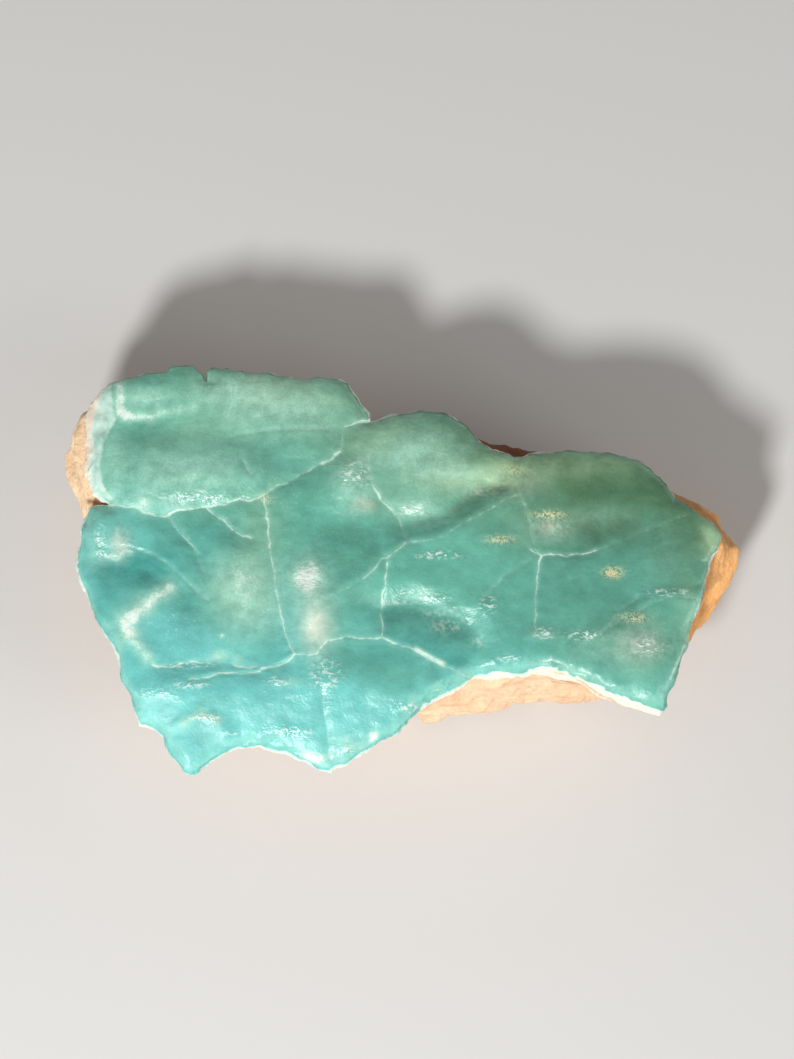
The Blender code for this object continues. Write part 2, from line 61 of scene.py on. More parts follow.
# The photo's view: how far it leans off the vertical, and what it looks at
PLAN_SHIFT = (0.2, -0.75)
VIEW_LEAN = 12.0
VIEW_DISTANCE = 500.0
VIEW_CENTRE = (-1.2, 7.0)
READING_LEVEL = 27.3
VIEW_LENS = 98.5

# Healed cracks: points, how pale, half width
VEINS = (
    (((-51.0, 11.4), (-48.0, 11.0), (-46.5, 10.95), (-45.2, 10.2), (-42.5, 9.6),
      (-41.3, 9.4), (-39.2, 10.3), (-36.3, 10.9), (-33.0, 11.05), (-31.0, 11.4),
      (-29.8, 12.0), (-28.3, 12.4), (-26.5, 12.2), (-24.3, 13.0)), 0.95, 0.42),
    (((-24.3, 13.0), (-22.5, 14.4), (-20.5, 15.2), (-16.5, 17.5), (-14.2, 18.7)), 0.55, 0.4),
    (((-14.2, 18.6), (-13.2, 19.3), (-11.7, 20.2), (-11.2, 20.7)), 1.3, 0.5),
    (((-11.0, 21.0), (-10.6, 23.0), (-10.6, 24.8)), 0.5, 0.35),
    (((-10.2, 25.2), (-9.0, 25.8), (-7.5, 26.1), (-6.0, 26.2)), 0.9, 0.45),
    (((-30.0, 23.4), (-25.0, 24.4), (-18.0, 24.9), (-12.0, 24.8)), 0.2, 0.9),
    (((-28.0, 19.6), (-27.0, 17.8), (-26.4, 16.8)), 0.6, 0.35),
    (((-41.0, 9.4), (-39.5, 7.5), (-37.5, 5.2), (-36.3, 4.0), (-35.5, 2.5)), 0.6, 0.36),
    (((-34.2, 10.8), (-31.3, 8.7), (-30.0, 7.2), (-27.8, 5.8), (-26.3, 5.5)), 0.75, 0.4),
    (((-24.2, 12.8), (-23.5, 8.5), (-23.2, 4.0)), 0.95, 0.44),
    (((-23.2, 4.0), (-22.3, -2.0), (-21.8, -5.0), (-20.9, -10.0), (-20.0, -12.5),
      (-19.0, -15.0)), 0.7, 0.4),
    (((-19.0, -15.3), (-20.2, -16.7), (-23.0, -17.5), (-24.5, -17.8)), 0.95, 0.42),
    (((-25.5, -17.4), (-28.5, -17.3), (-29.5, -17.0)), 0.9, 0.42),
    (((-33.5, -16.4), (-36.5, -16.5), (-40.0, -17.2), (-42.5, -17.3), (-43.5, -16.9)),
     0.9, 0.42),
    (((-24.8, -18.2), (-28.0, -18.5), (-31.8, -18.6), (-33.8, -19.3), (-37.0, -19.6)), 0.8, 0.36),
    (((-19.0, -15.2), (-15.0, -15.0), (-14.3, -14.0), (-13.2, -12.7), (-10.2, -12.1),
      (-6.0, -12.3), (-4.0, -12.1), (-2.0, -12.9), (1.5, -14.1)), 0.85, 0.42),
    (((1.8, -14.1), (3.0, -15.0), (5.0, -16.1), (7.0, -17.0)), 1.2, 0.42),
    (((7.0, -17.1), (9.5, -18.1), (11.2, -18.9)), 0.5, 0.36),
    (((-3.6, -12.0), (-3.9, -8.5), (-3.9, -6.0), (-3.3, -2.5), (-2.8, 1.0)), 0.85, 0.36),
    (((-15.0, -6.3), (-11.5, -4.2), (-7.0, -1.7)), 0.3, 0.5),
    (((-7.0, -1.7), (-5.5, -0.5), (-4.0, 1.5), (-1.0, 3.4), (0.5, 4.5)), 0.65, 0.38),
    (((0.5, 4.5), (5.0, 5.2), (6.8, 5.6), (9.3, 7.4), (13.0, 9.6), (17.0, 12.0),
      (19.5, 13.0)), 0.38, 0.45),
    (((-6.4, 20.8), (-6.0, 16.5), (-5.3, 14.5)), 0.4, 0.36),
    (((-5.5, 15.0), (-4.0, 12.3), (-2.2, 10.5)), 1.1, 0.4),
    (((-2.2, 10.5), (-0.7, 8.0), (0.4, 5.0)), 0.6, 0.36),
    (((19.7, 14.0), (21.2, 10.0), (22.0, 6.0), (23.0, 3.0)), 0.35, 0.4),
    (((21.5, 3.6), (23.6, 2.4)), 0.6, 0.4),
    (((23.6, 2.4), (26.5, 2.55), (28.0, 2.1), (31.0, 2.6), (33.0, 3.1)), 0.85, 0.36),
    (((33.0, 3.1), (38.0, 5.2), (44.3, 7.9), (50.0, 10.0)), 0.22, 0.4),
    (((23.6, 2.4), (23.3, 0.6), (23.0, -1.0)), 0.9, 0.42),
    (((23.0, -1.0), (22.7, -6.0), (22.6, -11.0)), 0.6, 0.36),
    (((21.5, 1.5), (17.0, -1.5), (13.5, -5.5)), 0.3, 0.4),
    (((28.0, -17.0), (29.1, -15.3), (32.1, -12.6), (34.7, -10.8), (38.1, -6.9),
      (40.3, -5.0)), 0.28, 0.4),
    (((35.5, -10.3), (42.4, -6.3), (45.9, -5.0), (50.2, -5.0)), 0.18, 0.5),
    (((23.4, -16.2), (25.4, -16.1), (28.0, -17.0), (29.5, -18.4), (31.5, -19.0)), 0.7, 0.36),
    (((-36.5, 4.2), (-34.8, -0.5)), 0.25, 0.3),
    (((-47.3, 3.8), (-43.8, 2.7), (-40.8, 1.1), (-37.8, -1.9), (-33.9, -5.5)), 0.35, 0.32),
    (((-14.9, -16.0), (-14.4, -20.0), (-14.1, -23.1), (-13.2, -28.8), (-12.8, -33.2)),
     0.3, 0.4),
)

# Crisp crests and valleys of the crust: points, height, how far its slopes reach
CREASES = (
    (((-51.0, 11.4), (-45.2, 10.4), (-41.3, 9.4)), -0.12, 2.4),
    (((-40.5, 9.6), (-36.3, 10.9), (-28.3, 12.4), (-24.3, 13.0), (-20.5, 15.2),
      (-14.2, 18.7), (-11.2, 20.7), (-10.6, 24.8)), -0.42, 3.2),
    (((-24.2, 12.8), (-23.2, 4.0), (-21.8, -5.0), (-20.0, -12.5), (-19.0, -15.0)), 0.2, 2.6),
    (((-19.0, -15.3), (-24.5, -17.8), (-31.8, -18.4), (-37.0, -18.6), (-45.5, -22.0)), 0.4, 3.2),
    (((-19.0, -15.2), (-15.0, -15.0), (-13.2, -12.7), (-4.0, -12.1), (1.5, -14.1),
      (7.0, -17.1), (11.2, -18.9)), 0.5, 3.2),
    (((-3.6, -12.0), (-3.9, -6.0), (-2.8, 1.0)), 0.18, 2.2),
    (((-15.0, -6.3), (-7.0, -1.7), (-4.0, 1.5), (0.5, 4.5), (6.8, 5.6), (13.0, 9.6),
      (19.5, 13.0)), 0.42, 3.0),
    (((1.0, 8.8), (5.0, 9.2), (9.0, 11.2), (14.3, 14.8), (17.0, 14.8)), -0.16, 2.0),
    (((-6.2, 20.5), (-5.3, 14.5), (-2.2, 10.5), (0.4, 5.0)), 0.16, 2.0),
    (((21.5, 3.6), (26.5, 2.5), (31.0, 2.6), (38.0, 5.2), (44.3, 7.9), (50.0, 10.0)), 0.38, 3.2),
    (((19.7, 14.0), (22.0, 6.0), (23.2, 0.0), (22.6, -11.0)), 0.18, 2.4),
    (((28.0, -17.0), (32.1, -12.6), (38.1, -6.9), (45.9, -5.0), (51.0, -5.2)), 0.3, 2.6),
    (((-41.0, -2.6), (-44.0, -5.6), (-47.2, -9.2), (-46.8, -12.0), (-43.0, -16.0)), 0.22, 2.6),
    (((-54.0, 1.0), (-48.0, 0.5), (-41.0, -0.5), (-36.5, -6.0)), -0.28, 2.6),
    (((-38.5, -27.3), (-37.0, -26.2), (-35.0, -25.8), (-33.0, -26.1), (-31.0, -28.0)), 0.16, 1.2),
    (((-3.8, -6.2), (1.0, -5.6), (5.0, -7.2), (9.0, -8.5), (12.5, -10.8)), 0.1, 1.6),
    (((-14.9, -16.0), (-14.1, -23.1), (-12.8, -33.2)), -0.16, 1.6),
    (((20.5, -12.0), (24.0, -11.4), (27.5, -12.0)), 0.2, 1.0),
)

# Soft rises and hollows: centre, radii, height
SWELLS = (
    ((7.0, -4.4), (7.0, 2.4), -0.4), ((-24.0, -24.0), (9.0, 3.0), 0.15),
    ((17.0, -9.0), (3.0, 4.0), 0.15),
)

# Where the crust shows its pale and its cream layer in plan: the edges of both at the left,
# from front to back, and the upper edge of the cream layer at the front right
CREAM_EDGE_LINE = (
    (-55.2, 11.6), (-54.4, 13.0), (-54.0, 15.5), (-54.2, 18.0), (-53.7, 21.0),
    (-53.8, 24.0), (-53.2, 27.0), (-52.4, 30.0), (-51.6, 32.5), (-50.6, 34.5),
)
PALE_LAYER_LINE = (
    (-49.8, 12.4), (-51.4, 14.8), (-52.2, 18.3), (-51.4, 22.3), (-49.4, 26.3), (-50.1, 31.5),
    (-50.1, 34.3),
)
CREAM_LAYER_LINE = (
    (12.2, -18.3), (14.0, -17.8), (16.6, -17.6), (20.0, -17.8), (22.6, -16.9),
    (23.5, -16.4), (26.0, -16.8), (28.5, -17.8), (31.2, -18.9), (33.5, -20.1),
    (36.0, -21.5), (39.8, -22.8), (43.0, -23.6), (44.8, -24.6),
)

# Soft patches of paint, as centre, radii and how strong. MILKY is whitish, DEEP_AND_SHADE darker and
# clearer and partly painted shade, MOSSY yellower green, BLUSH tan, SMUDGED grey-brown blotches and
# STAINED pinkish grey. GRAINS_AND_GLINTS has sparse pale specks, painted glints, and GILT_AND_GLINTS
# yellowish grains, partly painted yellow glints, and DULL shines less.
MILKY = (
    ((-44.5, 30.3), (4.5, 2.2), 0.6), ((-48.3, 27.6), (1.3, 1.0), 0.5),
    ((2.0, 11.0), (3.4, 1.5), 0.55), ((-27.0, 28.5), (9.0, 5.0), 0.35),
    ((-17.0, 28.5), (7.0, 5.0), 0.38), ((-30.0, 32.0), (6.0, 2.6), 0.35),
    ((-28.0, -2.0), (5.0, 4.0), 0.7), ((-26.0, -8.0), (5.0, 4.0), 0.35),
    ((-16.6, -1.5), (2.6, 3.2), 0.95), ((-16.6, -2.2), (4.0, 4.0), 0.35),
    ((-15.4, -10.4), (1.3, 2.8), 0.6), ((-15.2, -7.6), (1.5, 2.6), 0.4),
    ((-15.6, -33.4), (3.4, 0.9), 1.0), ((-9.0, 15.5), (3.8, 4.2), 0.5),
    ((8.0, 16.8), (6.0, 2.4), 0.4), ((2.5, 9.8), (4.5, 1.8), 0.35),
    ((-1.0, 20.0), (6.0, 3.0), 0.25), ((3.0, -4.6), (2.0, 1.0), 0.2),
    ((-50.5, 20.0), (2.4, 9.0), 0.3), ((24.0, -11.5), (2.2, 1.0), 0.4),
    ((-32.0, -15.4), (1.4, 1.0), 0.8), ((-28.6, -16.0), (0.9, 0.9), 0.5),
    ((-45.1, 11.5), (1.5, 1.4), 0.8), ((-31.5, -11.7), (0.4, 0.4), 1.0),
    ((-20.0, -20.0), (2.4, 0.9), 0.3), ((45.0, 1.0), (4.0, 6.0), 0.12),
    ((34.0, 9.5), (5.0, 2.0), 0.15), ((-54.0, 3.5), (1.6, 4.0), 0.3),
    ((-5.3, -29.4), (0.8, 1.0), 1.2), ((-9.5, -31.0), (3.0, 1.6), 0.5),
    ((-38.0, 17.0), (12.0, 4.5), 0.6), ((4.0, 22.0), (8.0, 4.5), 0.35),
    ((34.0, -14.5), (5.0, 3.0), 0.2),
)
DEEP_AND_SHADE = (
    ((-45.5, 22.3), (6.0, 2.6), 0.35), ((-25.0, 18.0), (7.0, 3.0), 0.2),
    ((-33.0, 6.5), (6.0, 3.6), 0.6), ((-45.5, 0.0), (6.5, 3.4), 1.0),
    ((-51.5, -9.0), (2.6, 6.0), 0.5), ((-37.0, -4.0), (3.0, 3.4), 0.5),
    ((-7.0, 7.5), (5.0, 4.5), 0.3), ((-5.0, -15.5), (5.5, 2.4), 0.4),
    ((-23.5, -14.8), (3.5, 2.0), 0.35), ((30.0, 6.5), (11.0, 3.6), 1.0),
    ((31.0, -2.0), (8.0, 5.0), 0.3), ((43.0, -10.0), (9.0, 7.0), 0.3),
    ((37.0, -12.0), (13.0, 6.0), 0.5), ((-16.0, 22.5), (5.0, 1.6), 0.35),
    ((-36.0, -29.0), (3.4, 3.0), 0.2), ((17.0, -13.5), (4.0, 3.0), 0.2),
    ((-44.0, 1.5), (3.0, 2.0), 0.3), ((-8.0, -6.0), (3.6, 2.6), 0.25),
    ((31.0, -6.0), (6.0, 5.0), 0.12),
)
MOSSY = (
    ((-27.5, -4.5), (6.0, 6.5), 0.55), ((-24.5, 8.0), (4.0, 6.0), 0.35),
    ((10.0, 16.4), (9.0, 3.0), 0.7), ((18.0, 17.0), (4.0, 3.0), 0.6),
    ((30.0, 18.5), (12.0, 2.6), 0.7), ((-22.0, 31.0), (14.0, 4.0), 0.55),
    ((53.0, 5.5), (2.0, 3.6), 0.9), ((25.0, 6.5), (8.0, 4.0), 0.4),
    ((-4.0, 22.5), (8.0, 5.0), 0.45), ((40.0, -13.5), (6.0, 5.0), 0.5),
    ((0.0, 13.0), (6.0, 4.0), 0.35), ((49.0, -9.0), (2.0, 9.0), 0.35),
    ((-34.0, 24.0), (10.0, 3.0), 0.3),
)
BLUSH = (
    ((24.8, 7.8), (2.4, 1.4), 0.35), ((-6.0, 11.2), (2.0, 1.6), 0.35),
    ((36.1, -0.8), (0.9, 0.7), 0.8),
)
SMUDGED = (
    ((7.3, -10.0), (2.6, 1.2), 1.0), ((12.8, -13.0), (1.2, 1.2), 0.7),
    ((-0.8, -5.7), (2.4, 0.6), 0.8), ((5.0, -7.6), (3.6, 0.8), 0.6),
    ((-48.8, 4.6), (1.6, 2.4), 1.0), ((42.0, -13.5), (4.0, 2.6), 0.5),
    ((25.5, 7.6), (3.0, 1.6), 0.6), ((-7.6, 11.5), (1.6, 1.5), 0.9),
    ((14.5, 13.6), (4.5, 1.0), 0.7),
)
STAINED = (
    ((-15.2, -10.3), (2.7, 4.4), 0.8), ((-49.2, 4.2), (1.5, 2.6), 0.5),
    ((25.2, 6.9), (2.6, 1.5), 0.3), ((40.6, -13.2), (3.4, 2.6), 0.45),
    ((-7.0, 11.4), (1.8, 1.4), 0.35), ((22.0, 14.8), (3.0, 2.0), 0.2),
    ((-52.0, 2.0), (1.0, 1.2), 0.3),
)
GRAINS_AND_GLINTS = (
    ((-30.0, 30.0), (12.0, 4.0), 0.8), ((-40.0, -9.5), (6.0, 6.0), 1.0),
    ((-26.0, -3.0), (5.0, 6.0), 1.0), ((-20.0, 10.0), (8.0, 8.0), 0.5),
    ((-39.0, -21.0), (6.0, 2.5), 1.0), ((6.0, 17.0), (8.0, 4.0), 0.7),
    ((-35.0, 13.0), (7.0, 2.5), 0.8), ((20.0, 17.0), (5.0, 5.0), 0.5),
    ((42.0, -13.0), (5.0, 4.0), 0.7), ((-8.0, 3.0), (9.0, 6.0), 0.3),
    ((-35.0, -26.0), (5.0, 2.0), 0.8),
)
# GILT_AND_GLINTS: yellowish grains, partly painted yellow glints
GILT_AND_GLINTS = (
    ((24.8, 9.6), (2.6, 0.7), 1.0), ((16.6, 5.2), (2.2, 0.7), 1.0), ((39.6, -8.6), (2.2, 0.8), 0.9),
    ((36.0, -0.6), (1.5, 0.9), 1.5), ((-24.0, 12.6), (1.2, 0.8), 0.8),
    ((19.2, 17.4), (1.6, 1.2), 0.55),
)
DULL = (
    ((-36.5, -29.5), (4.5, 3.6), 1.0), ((-43.5, -24.0), (4.0, 3.2), 0.8),
    ((-44.6, 11.2), (3.6, 1.8), 1.2), ((-13.0, -30.0), (4.0, 2.2), 0.6),
    ((-24.0, -26.0), (5.0, 2.0), 0.5), ((2.0, -4.5), (3.0, 1.5), 0.5),
)

# Sugary places, shinier and more rippled, where glints are painted on the crests of their ripples:
# centre and radii
FROSTED_AND_GLINTS = (
    ((24.3, -11.3), (2.8, 1.3)), ((31.0, -11.6), (4.0, 1.1)), ((18.5, -15.8), (2.8, 0.7)),
    ((-21.8, -19.8), (2.8, 1.1)), ((-13.6, -18.6), (3.8, 3.2)), ((-19.0, -28.6), (4.0, 1.1)),
    ((1.0, -24.4), (2.6, 1.1)), ((6.9, -21.3), (2.6, 0.7)), ((-9.7, -31.9), (2.2, 0.9)),
    ((-34.0, -26.0), (3.6, 0.7)), ((-29.8, -29.0), (1.5, 0.8)), ((-43.0, -21.8), (4.0, 1.0)),
    ((-37.0, -20.4), (4.0, 0.9)), ((-8.5, 16.5), (3.2, 3.0)), ((1.5, 10.5), (3.4, 1.2)),
    ((0.5, -4.0), (2.2, 0.7)), ((5.0, -5.0), (2.8, 0.8)), ((14.5, -6.5), (1.8, 2.4)),
    ((6.0, 2.5), (5.0, 0.9)), ((45.5, -4.2), (4.8, 0.9)), ((-35.0, 13.0), (5.0, 1.2)),
    ((-52.5, 5.5), (1.2, 3.6)), ((-16.5, -1.4), (3.0, 3.2)), ((42.0, -13.6), (3.4, 2.0)),
    ((-37.0, -17.0), (5.0, 0.7)),
)

# Streaks of paint, as points, how strong and half width. In MILKY_AND_HIGHLIGHT_LINES the V at the
# left is a painted highlight, and the first of BLUSH_AND_SHADOW_LINES is a painted shadow line at
# the foot of the cream layer. PALE_RIM runs along the right edge, and CLEFTS_AND_SHADE are dirty
# gaps where the rock meets the crust, two of them painted shade.
MILKY_AND_HIGHLIGHT_LINES = (
    (((-49.2, 32.6), (-49.1, 28.0), (-48.0, 26.9), (-43.8, 26.8)), 0.8, 0.9),
    (((-46.0, 26.6), (-40.0, 27.9), (-36.5, 28.4)), 0.6, 0.8),
    # The V at the left: a painted highlight
    (((-40.6, -3.3), (-43.2, -5.2), (-46.0, -7.6)), 0.9, 1.45),
    (((-44.6, -6.4), (-48.3, -9.5), (-47.4, -11.2)), 1.08, 1.8),
    (((-47.8, -10.2), (-46.4, -12.7), (-44.2, -15.6)), 0.82, 1.2),
    (((2.2, -14.2), (4.0, -15.3), (6.8, -16.8)), 1.05, 0.45),
    (((-49.6, 7.2), (-49.1, 4.8), (-48.0, 3.4), (-47.0, 3.0)), 0.75, 0.3),
    (((-51.4, 1.9), (-49.6, 1.7), (-48.4, 3.0)), 0.6, 0.3),
    (((-38.0, -27.0), (-35.0, -25.4), (-32.0, -26.8)), 0.5, 0.8),
)
BLUSH_AND_SHADOW_LINES = (
    # A painted shadow line at the foot of the cream layer, next to the rock
    (((25.0, -17.7), (28.6, -18.8), (31.5, -20.4), (34.5, -22.4), (38.0, -24.0)), 0.62, 0.3),
    (((7.9, 10.2), (11.0, 12.4), (13.5, 14.2), (17.4, 15.1), (19.8, 14.8)), 0.3, 0.8),
    (((-38.5, -27.3), (-37.0, -26.2), (-35.0, -25.8), (-33.0, -26.1), (-31.8, -27.1)), 0.38, 0.6),
)
PALE_RIM = (
    (((54.6, 4.6), (51.6, -3.1), (50.3, -7.7), (48.4, -13.6), (45.8, -19.6)), 0.46, 0.4),
)
CLEFTS_AND_SHADE = (
    (((-54.3, 12.0), (-52.4, 11.4), (-50.0, 11.2)), 0.9, 0.5),
    # Painted shade: the shadowed rim at the right and the shadow line under the crust's front edge
    (((46.5, 13.0), (50.0, 11.2), (53.0, 9.2), (55.6, 6.2), (56.4, 4.4)), 0.62, 1.2),
    (((23.9, -18.6), (26.9, -19.3), (30.4, -20.6), (34.7, -22.6), (38.1, -24.1)), 0.8, 0.3),
)

# Places that are darker up to a crisp edge, partly darker stone and partly painted shade on slopes
# that face away from the light: outline, how strong
DARK_AND_SHADED_CELLS = (
    (((-3.8, -5.9), (-1.0, -5.7), (1.0, -5.4), (3.0, -6.0), (5.0, -7.0), (9.0, -8.3),
      (11.0, -9.3), (12.5, -10.5), (13.5, -13.0), (12.0, -16.0), (9.5, -17.8),
      (7.0, -16.9), (2.0, -14.0), (-2.0, -12.8), (-3.8, -12.0)), 0.55),
    (((1.0, 8.6), (3.0, 8.5), (5.0, 9.0), (7.0, 9.8), (9.0, 11.0), (11.0, 12.3),
      (12.7, 13.5), (14.3, 14.5), (17.0, 14.5), (19.5, 13.0), (17.0, 12.0),
      (13.0, 9.6), (9.3, 7.4), (6.8, 5.6), (5.0, 5.2), (0.5, 4.7)), 0.16),
    (((19.7, 14.0), (21.2, 10.0), (22.0, 6.0), (23.0, 3.0), (26.5, 2.5), (31.0, 2.6),
      (35.0, 4.2), (38.0, 5.4), (44.5, 8.0), (50.0, 10.0), (45.0, 16.0), (40.0, 20.5),
      (30.0, 22.0), (22.0, 21.0)), 0.3),
    (((23.4, 2.0), (23.0, -1.0), (22.6, -11.0), (27.0, -15.0), (34.0, -11.0),
      (38.0, -7.0), (50.0, -5.0), (54.0, 2.0), (50.0, 9.0), (38.0, 5.0), (31.0, 2.2)), 0.28),
    (((-55.0, 2.0), (-49.0, 3.4), (-44.0, 1.6), (-39.8, -2.6), (-45.0, -2.4),
      (-50.0, -0.6), (-55.0, -1.5)), 0.3),
    (((-24.3, 13.2), (-14.2, 18.8), (-11.6, 20.6), (-10.8, 24.6), (-18.0, 24.4),
      (-30.0, 22.4), (-34.0, 18.0), (-29.0, 14.0)), 0.12),
)

# How far up a normal points where a wall ends and the skin begins, sharply and softly, and
# where the underside begins
STEEP = 0.5
WALL_TO_SKIN = (0.3, 0.8)
UNDERSIDE = -0.6

# Half width of the healed cracks' grooves, and how the cracks wander: reach, length
GROOVE_WIDTH = 0.5
VEIN_WANDER = ((0.3, 1.8), (0.12, 0.6))

# Heights above the crust's underside, in metres, over which the walls' layers end
LEDGE_TOP = (0.0016, 0.0021)
LAYER_TOP = (0.0012, 0.0034)
LAYER_WANDER = 0.0009

# In plan, where the layers show at the left edge and at the front right
LEFT_LAYERS_FROM = (11.4, 12.4)
FRONT_LAYER_ENDS = (12.0, 45.5)
FRONT_LAYER_BACK = -15.0

# Heights on the rock, in metres: its foot, where its relief sets in, and its top
ROCK_FOOT = 0.0004
ROCK_FREE = (0.0002, 0.002)
ROCK_TOP = (0.015, 0.021)

# How far out, in plan, the colours of the rock's two ends set in
ROCK_ENDS = (40.0, 52.0)

# Soft balls on the rock, in the part's own millimetres: centre, radii
BACK_HUMP_BROWN = ((17.0, 22.0, 21.0), (24.0, 8.0, 15.0))
HUMP = ((18.8, 23.0, 21.0), (4.5, 8.0, 12.0))
SHOULDER = ((-56.0, 23.0, 20.0), (5.0, 5.5, 9.0))

# Heights of the finest relief, in metres, which only the materials show
SKIN_BUMP = 0.00014
ROCK_BUMP = 0.00025

# The stage, in metres, and in degrees round the stone from its front
FLOOR_REACH = 1.5
SKY_COLOUR = (1.0, 0.99, 0.97, 1.0)
KEY_LIGHT = {"azimuth": -24.0, "elevation": 43.0, "distance": 0.8, "size": 0.13}
FILL_LIGHT = {"azimuth": 62.0, "elevation": 32.0, "distance": 1.0, "size": 0.5}


def seen(points):
    """Plan readings of points in metres: where the photo's view shows them."""
    lean = math.radians(VIEW_LEAN)
    across = points[:, 0] / MM - PLAN_SHIFT[0] - VIEW_CENTRE[0]
    back = points[:, 1] / MM - PLAN_SHIFT[1] - VIEW_CENTRE[1]
    rise = points[:, 2] / MM - READING_LEVEL
    depth = VIEW_DISTANCE + back * math.sin(lean) - rise * math.cos(lean)
    height = back * math.cos(lean) + rise * math.sin(lean)
    scale = VIEW_DISTANCE / depth
    return np.column_stack([
        VIEW_CENTRE[0] + across * scale,
        VIEW_CENTRE[1] + height * scale / math.cos(lean),
    ])


def line_distance(places, line):
    """How far each place lies from a line of straight stretches."""
    nearest = np.full(len(places), np.inf)
    for start, end in zip(line[:-1], line[1:]):
        a = np.array(start)
        run = np.array(end) - a
        share = np.clip((places - a) @ run / (run @ run), 0.0, 1.0)
        gap = places - a - share[:, None] * run
        nearest = np.minimum(nearest, np.hypot(gap[:, 0], gap[:, 1]))
    return nearest


def inside(places, outline):
    """Which places a closed outline holds."""
    found = np.zeros(len(places), bool)
    x, y = places[:, 0], places[:, 1]
    for (ax, ay), (bx, by) in zip(outline, outline[1:] + outline[:1]):
        if ay != by:
            spans = (ay > y) != (by > y)
            found ^= spans & (x < ax + (y - ay) * (bx - ax) / (by - ay))
    return found


def smooth_step(values, low, high):
    """From 0 below low to 1 above high, without a crease."""
    share = np.clip((values - low) / (high - low), 0.0, 1.0)
    return share * share * (3.0 - 2.0 * share)


def bell(values):
    """1 at zero, falling softly to both sides."""
    return np.exp(-values ** 2)


def around(points, centre, radii):
    """A soft ball of influence about a place in millimetres, 1 in its middle."""
    return bell(np.linalg.norm((points / MM - centre) / radii, axis=1))


def patches(places, spots):
    """Soft round patches, one over the other."""
    total = np.zeros(len(places))
    for centre, radii, strength in spots:
        total += strength * bell(np.hypot(*((places - centre) / radii).T))
    return total


def streaks(places, lines):
    """Soft lines, the strongest one at each place."""
    total = np.zeros(len(places))
    for line, strength, width in lines:
        total = np.maximum(total, strength * bell(line_distance(places, line) / width))
    return total


def left_of(places, line):
    """How far each place lies to the left of a line that runs from front to back."""
    across, back = zip(*line)
    return np.interp(places[:, 1], back, across) - places[:, 0]


def signed_edge(places, outline):
    """Distance from a closed outline, positive inside."""
    distance = line_distance(places, outline + outline[:1])
    return np.where(inside(places, outline), distance, -distance)


def rough_noise(points, length, stretch=(1.0, 1.0, 1.0)):
    """Smooth noise at points in metres, about length millimetres from crest to crest."""
    scaled = points / (length * MM) / np.array(stretch)
    return np.array([noise.noise(Vector(spot)) for spot in scaled])


def chipped(points, length):
    """Tilted flats with crisp creases between them, from -1 to 1, as broken stone has."""
    crease_width = 0.12
    rise = np.empty(len(points))
    for index, scaled in enumerate(points / (length * MM)):
        spot = Vector(scaled)
        distances, centres = noise.voronoi(spot)
        flats = [
            sum(noise.noise(7.0 * centre + Vector((axis, 0.5, 0.0))) * (spot - centre)[axis]
                for axis in range(3))
            for centre in centres[:2]
        ]
        share = 0.5 + 0.5 * min((distances[1] - distances[0]) / crease_width, 1.0)
        rise[index] = 2.0 * (flats[0] * share + flats[1] * (1.0 - share))
    return rise


def ridged_noise(points, length):
    """Noise with sharp ridges, about length millimetres apart."""
    dimension, lacunarity, octaves, offset, gain = 1.0, 2.1, 4, 1.0, 2.0
    return np.array([
        noise.ridged_multi_fractal(Vector(spot), dimension, lacunarity, octaves, offset, gain)
        for spot in points / (length * MM)
    ])


def merged_copy(node):
    """A bmesh of a solid's triangles, joined at their corners."""
    bm = bmesh.new()
    bm.from_mesh(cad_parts[node].data)
    bmesh.ops.remove_doubles(bm, verts=bm.verts[:], dist=0.001 * MM)
    return bm


def divide(bm, edges):
    bmesh.ops.subdivide_edges(bm, edges=edges, cuts=1, use_grid_fill=True)


def soften(bm, verts, times=1, upright=False):
    """Smooth without shrinking: each pass is taken back a little further than it went."""
    for _ in range(times):
        for factor in (0.5, -0.52):
            bmesh.ops.smooth_vert(
                bm, verts=verts, factor=factor,
                use_axis_x=not upright, use_axis_y=not upright, use_axis_z=True,
            )


def refresh(bm):
    bm.verts.index_update()
    bm.normal_update()


def coordinates(bm):
    return np.array([vert.co for vert in bm.verts])


def directions(bm):
    return np.array([vert.normal for vert in bm.verts])


def facing(normals):
    """How far each point belongs to the skin on top, and how far to a wall."""
    upward = smooth_step(normals[:, 2], *WALL_TO_SKIN)
    return upward, 1.0 - smooth_step(np.abs(normals[:, 2]), *WALL_TO_SKIN)


def place(bm, points):
    for vert, point in zip(bm.verts, points):
        vert.co = point


def finished(bm, name, material, paint):
    """The piece's object, with its paint as attributes that the material reads."""
    bm.normal_update()
    mesh = bpy.data.meshes.new(name)
    bm.to_mesh(mesh)
    bm.free()
    for layer, values in paint.items():
        attribute = mesh.attributes.new(layer, "FLOAT", "POINT")
        attribute.data.foreach_set("value", np.asarray(values, np.float32))
    mesh.materials.append(material)
    mesh.shade_smooth()
    piece = bpy.data.objects.new(name, mesh)
    bpy.context.scene.collection.objects.link(piece)
    return piece


